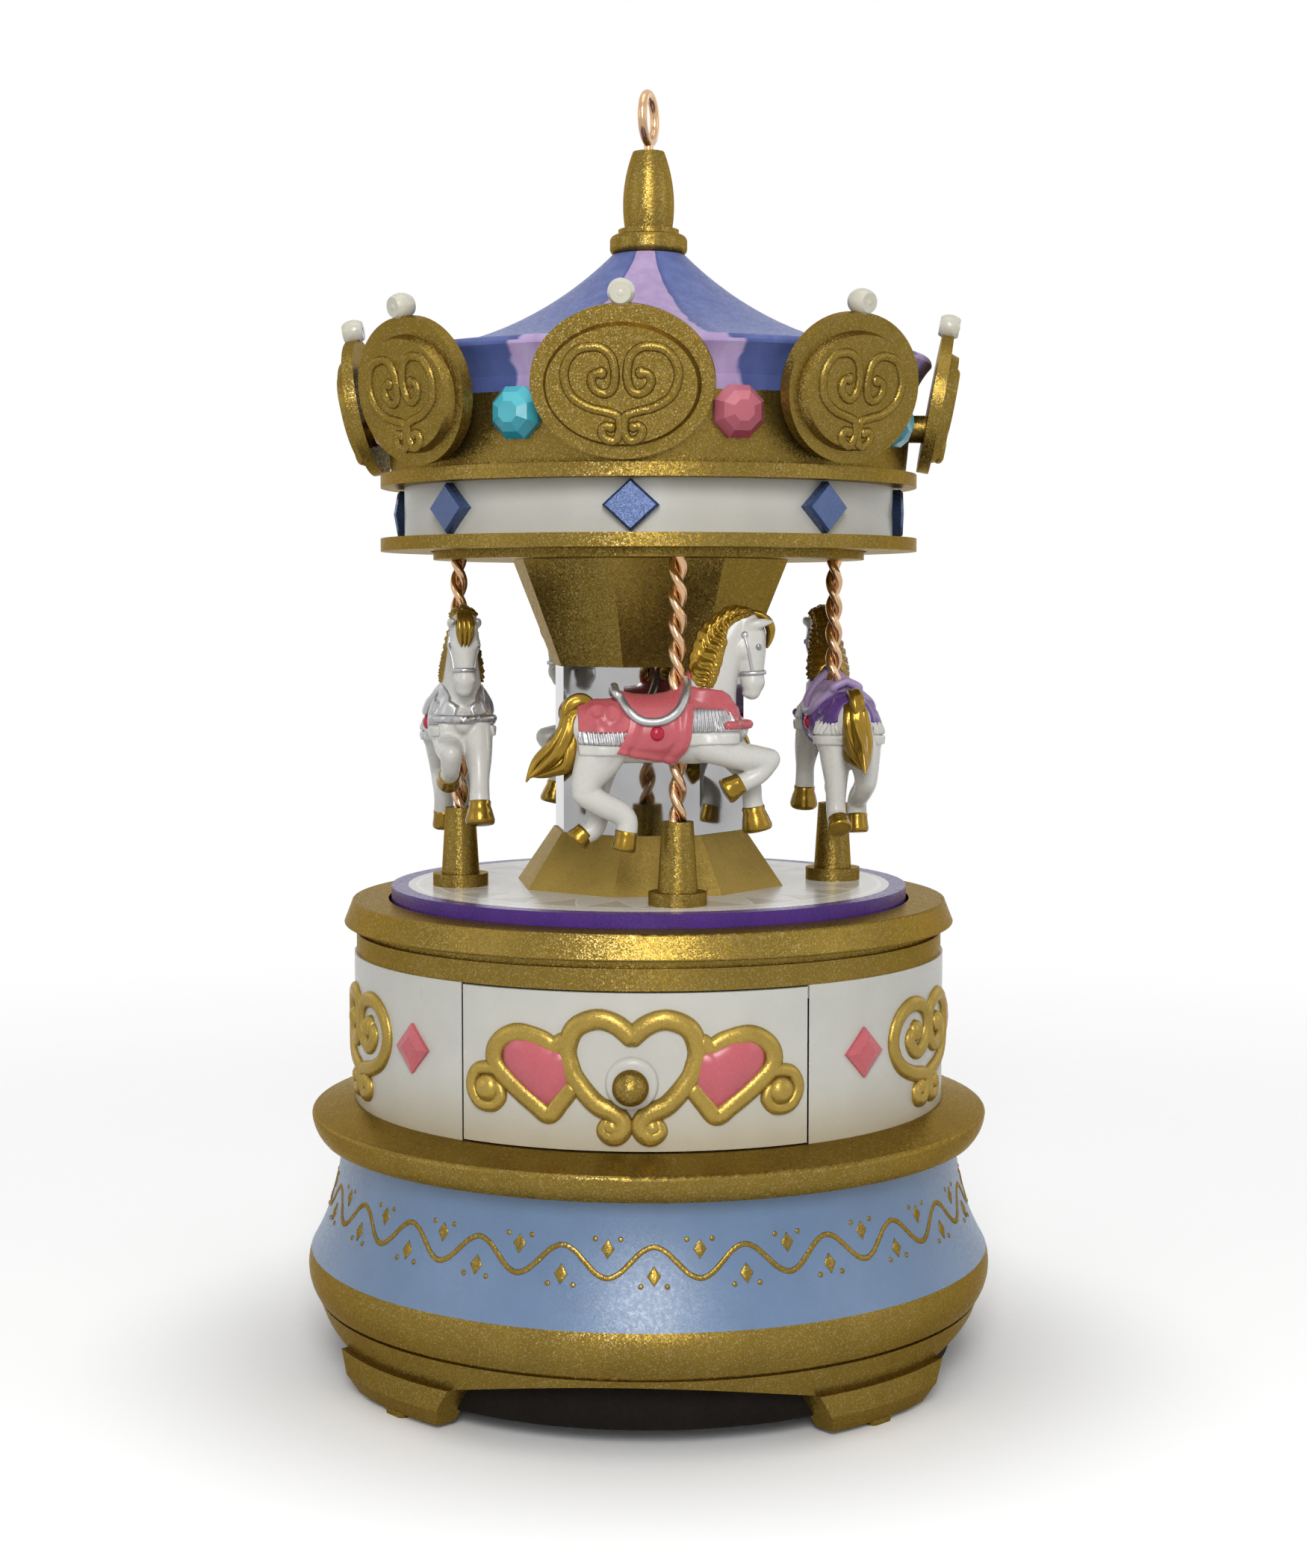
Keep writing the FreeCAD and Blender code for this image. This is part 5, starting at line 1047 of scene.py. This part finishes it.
hair = Shape()
rings = []
for share, back, front in zip(shares(len(MANE_BACK) - 1), MANE_BACK, MANE_FRONT):
    bump = 0.14 * abs(math.sin(math.pi * MANE_LOCKS * share))
    back = (back[0] - bump, back[1] + 0.5 * bump)
    rings.append(mane_row(back, front, share, -1) + mane_row(back, front, share, 1)[::-1])
hair.skin(rings)
for offset in FORELOCK_OFFSETS:
    lock(hair, [(x, part * offset, z) for x, part, z in FORELOCK], 0.46)
strands = [[(x, 0.0, z) for x, z in path] for path in TAIL_MIDDLE]
strands += [[(x, side * y, z) for x, y, z in path] for path in TAIL_SIDES for side in SIDES]
for strand in strands:
    lock(hair, strand, 0.78, count=16, flat=0.9)

hooves = Shape()
for side, pastern, sole, slim, wide in HOOVES:
    hoof = []
    for share, upper, lower in HOOF_PROFILE:
        x, z = blend(pastern, sole, share)
        girth = upper * slim + lower * wide
        hoof.append((x, side, z, girth, girth))
    hooves.tube(hoof, count=20, blunt=True)

# The four horses in their colours

DRESS = {  # bearing, then the looks of cloth, saddle, saddle rim and fringe, and the cloth's slot
    "front": (11.1, pink, pink, silver, silver, "pink_paint"),
    "right": (101.1, violet, lilac, lilac, horse_white, "purple_paint"),
    "back": (191.1, aqua, white, silver, silver, "blue_satin"),
    "left": (281.1, silver, pink, silver, silver, "horse_paint"),
}
for name, (bearing, cloth, seat, rim_look, fringe, cloth_slot) in DRESS.items():
    spot = Matrix.Rotation(math.radians(bearing), 4, "Z") @ Matrix.Translation((0, -POLE_CIRCLE, 0))
    body = piece(f"horse_{name}_body", horse, horse_white, "turntable", spot)
    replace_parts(body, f"horse_{name}")
    for part, shape, look, slot in (
            ("blanket", blanket, cloth, cloth_slot), ("flap", flap, cloth, cloth_slot),
            ("saddle", saddle, seat, cloth_slot), ("saddle_rim", rim, rim_look, "steel"),
            ("ribbed_trim", ribbed, fringe, "steel"), ("plain_trim", plain_bands, horse_white, "horse_paint"),
            ("jewel", jewel, red_stone, "pink_stone"), ("eyes", eyes, dark_eye, "black_plastic"),
            ("bridle", bridle, silver, "steel"), ("hair", hair, hair_gold, "gold_paint"),
            ("hooves", hooves, hair_gold, "gold_paint")):
        piece(f"horse_{name}_{part}", shape, look, "turntable", spot)

# A gold wave with diamonds and dots round the blue band

COVE_BOTTOM = (32.9, 11.4)  # radius, level
COVE_TOP = (29.9, 22.4)
COVE_HOLLOW = 0.79
COVE_LEAN = 0.28
MOTIFS = 24
MOTIF_RISE = 1.3
MOTIF_DIAMOND = [(0.0, 0.85), (0.6, 0.0), (0.0, -0.85), (-0.6, 0.0)]
DIAMOND_SPOTS = ((0.25, -1.1), (0.75, 1.1))  # share of a wave, height from the band's middle
DOT_HOPS = (-0.14, 0.14)
WAVE_KNOTS = 8


def cove_face(angle, v):
    """Points on the hollow blue band, from a bearing and the height from its middle."""
    tall = COVE_TOP[1] - COVE_BOTTOM[1]
    share = (v + tall / 2) / tall
    radius = COVE_BOTTOM[0] + (COVE_TOP[0] - COVE_BOTTOM[0]) * share - COVE_HOLLOW * 4 * share * (1 - share)
    out = outward(angle)
    level = (COVE_TOP[1] + COVE_BOTTOM[1]) / 2 + v
    return out * radius + Vector((0, 0, level)), (out + Vector((0, 0, COVE_LEAN))).normalized()


motif = Shape()
width = 2 * math.pi / MOTIFS
for step in range(MOTIFS):
    start = width * step
    wave = [(start + width * part, MOTIF_RISE * math.sin(2 * math.pi * part)) for part in shares(WAVE_KNOTS)]
    scroll(motif, wave, wide=0.24, high=0.10, carry=cove_face, steps=4)
    for share, rise in DIAMOND_SPOTS:
        middle = start + width * share
        dome(motif, MOTIF_DIAMOND, 0.14, lambda u, v: cove_face(middle + u / COVE_TOP[0], rise + v))
        for hop in DOT_HOPS:
            point, normal = cove_face(middle + width * hop, 1.75 * rise)
            motif.bead(point, normal, wide=0.24, high=0.10)
piece("band_motif", motif, gold, "base")

# Painted shade: a near-black skirt round the winding key stands in for the shade seen under the arches, its
# seam at the back

SKIRT = [(28.6, 7.9), (28.6, 1.9), (28.8, 1.7), (29.2, 1.7), (29.4, 1.9), (29.4, 7.9)]  # radius, level
SKIRT_TURNS = range(180, 541, 3)  # degrees
skirt_rings = []
for turn in SKIRT_TURNS:
    out = outward(math.radians(turn))
    skirt_rings.append([out * radius + Vector((0, 0, level)) for radius, level in SKIRT])
skirt = Shape()
skirt.skin(skirt_rings)
piece("painted_shade_skirt", skirt, painted_shade_black, "base")

# Studio floor, backdrop, lamps and camera, in metres

FLOOR_CORNERS = [(-3, -3, 0), (3, -3, 0), (3, 3, 0), (-3, 3, 0)]
PAPER_FADE = (0.06, 0.28)  # distances between which the paper fades into the backdrop
GLOW_REACH = (0.028, 0.06)
GLOW_STRENGTH = 0.28
BACKDROP_FILL = 0.27  # strength of the backdrop as light
WHITE = (1.0, 1.0, 1.0, 1.0)


def seen_rays(tree):
    """One for what the camera or a reflection sees, else nothing."""
    rays = node(tree, "LightPath").outputs
    return calc(tree, "MAXIMUM", rays["Is Camera Ray"], rays["Is Glossy Ray"])


def studio_paper():
    """White paper that takes the shadow and fades into the backdrop. Away from the base it glows as painted
    light for the camera and reflections.
    """
    material, tree, shader, place = blank("studio_paper")
    distance = node(tree, "VectorMath", {0: place}, operation="LENGTH").outputs["Value"]
    grain = noise(tree, place, 900.0, 4.0)
    colour = mix(tree, grain, (0.90, 0.90, 0.90), (0.94, 0.94, 0.94))
    # Painted light: a glow seen by the camera and reflections, none close round the base.
    glow = between(tree, distance, *GLOW_REACH, 0.0, GLOW_STRENGTH)
    feed(tree, shader, {
        "Base Color": colour, "Roughness": 0.9, "Specular IOR Level": 0.1,
        "Alpha": between(tree, distance, *PAPER_FADE, 1.0, 0.0), "Emission Color": WHITE,
        "Emission Strength": calc(tree, "MULTIPLY", seen_rays(tree), glow),
    })
    return material


floor_mesh = bpy.data.meshes.new("studio_floor")
floor_mesh.from_pydata(FLOOR_CORNERS, [], [(0, 1, 2, 3)])
floor_mesh.materials.append(studio_paper())
floor = add("studio_floor", floor_mesh)

world = bpy.data.worlds.new("studio")
scene.world = world
world.use_nodes = True
tree = world.node_tree
passing = node(tree, "LightPath").outputs["Is Transmission Ray"]
seen = calc(tree, "MAXIMUM", seen_rays(tree), passing)
strength = between(tree, seen, 0.0, 1.0, BACKDROP_FILL, 1.0, "LINEAR")
feed(tree, tree.nodes["Background"], {"Color": WHITE, "Strength": strength})

LAMP_AIM = Vector((0, 0, 0.06))
LAMPS = {  # place, width, height, watts
    "key": ((0.02, -0.46, 0.32), 0.16, 0.18, 1.35),
    "front_fill": ((0.02, -0.55, 0.18), 0.16, 0.16, 0.6),
    "top": ((0.0, -0.10, 0.70), 0.45, 0.45, 0.9),
    "left_fill": ((-0.55, -0.25, 0.25), 0.3, 0.3, 0.28),
    "right_fill": ((0.55, -0.15, 0.25), 0.3, 0.3, 0.28),
    "left_back": ((-0.50, 0.42, 0.28), 0.3, 0.3, 0.22),
    "right_back": ((0.50, 0.42, 0.28), 0.3, 0.3, 0.22),
}
for name, (place, wide, tall, watts) in LAMPS.items():
    light = bpy.data.lights.new(name, "AREA")
    light.shape = "RECTANGLE"
    light.size = wide
    light.size_y = tall
    light.energy = watts
    lamp = add(name, light)
    lamp.location = place
    lamp.rotation_euler = (LAMP_AIM - Vector(place)).to_track_quat("-Z", "Y").to_euler()

CAMERA_TURN = math.radians(2.8)
CAMERA_PITCH = math.radians(90 - 4.28)
CAMERA_REACH = 0.2358
CAMERA_LEVEL = 0.0735
CAMERA_SHIFT = 0.00047
camera_data = bpy.data.cameras.new("camera")
camera_data.sensor_width = 36.0
camera_data.lens = 55.85
camera_data.clip_start = 0.01
camera = add("camera", camera_data)
right = Vector((math.cos(CAMERA_TURN), math.sin(CAMERA_TURN), 0))
camera.location = outward(CAMERA_TURN) * CAMERA_REACH + right * CAMERA_SHIFT + Vector((0, 0, CAMERA_LEVEL))
camera.rotation_euler = (CAMERA_PITCH, 0, CAMERA_TURN)
scene.camera = camera
scene.view_settings.view_transform = "Standard"
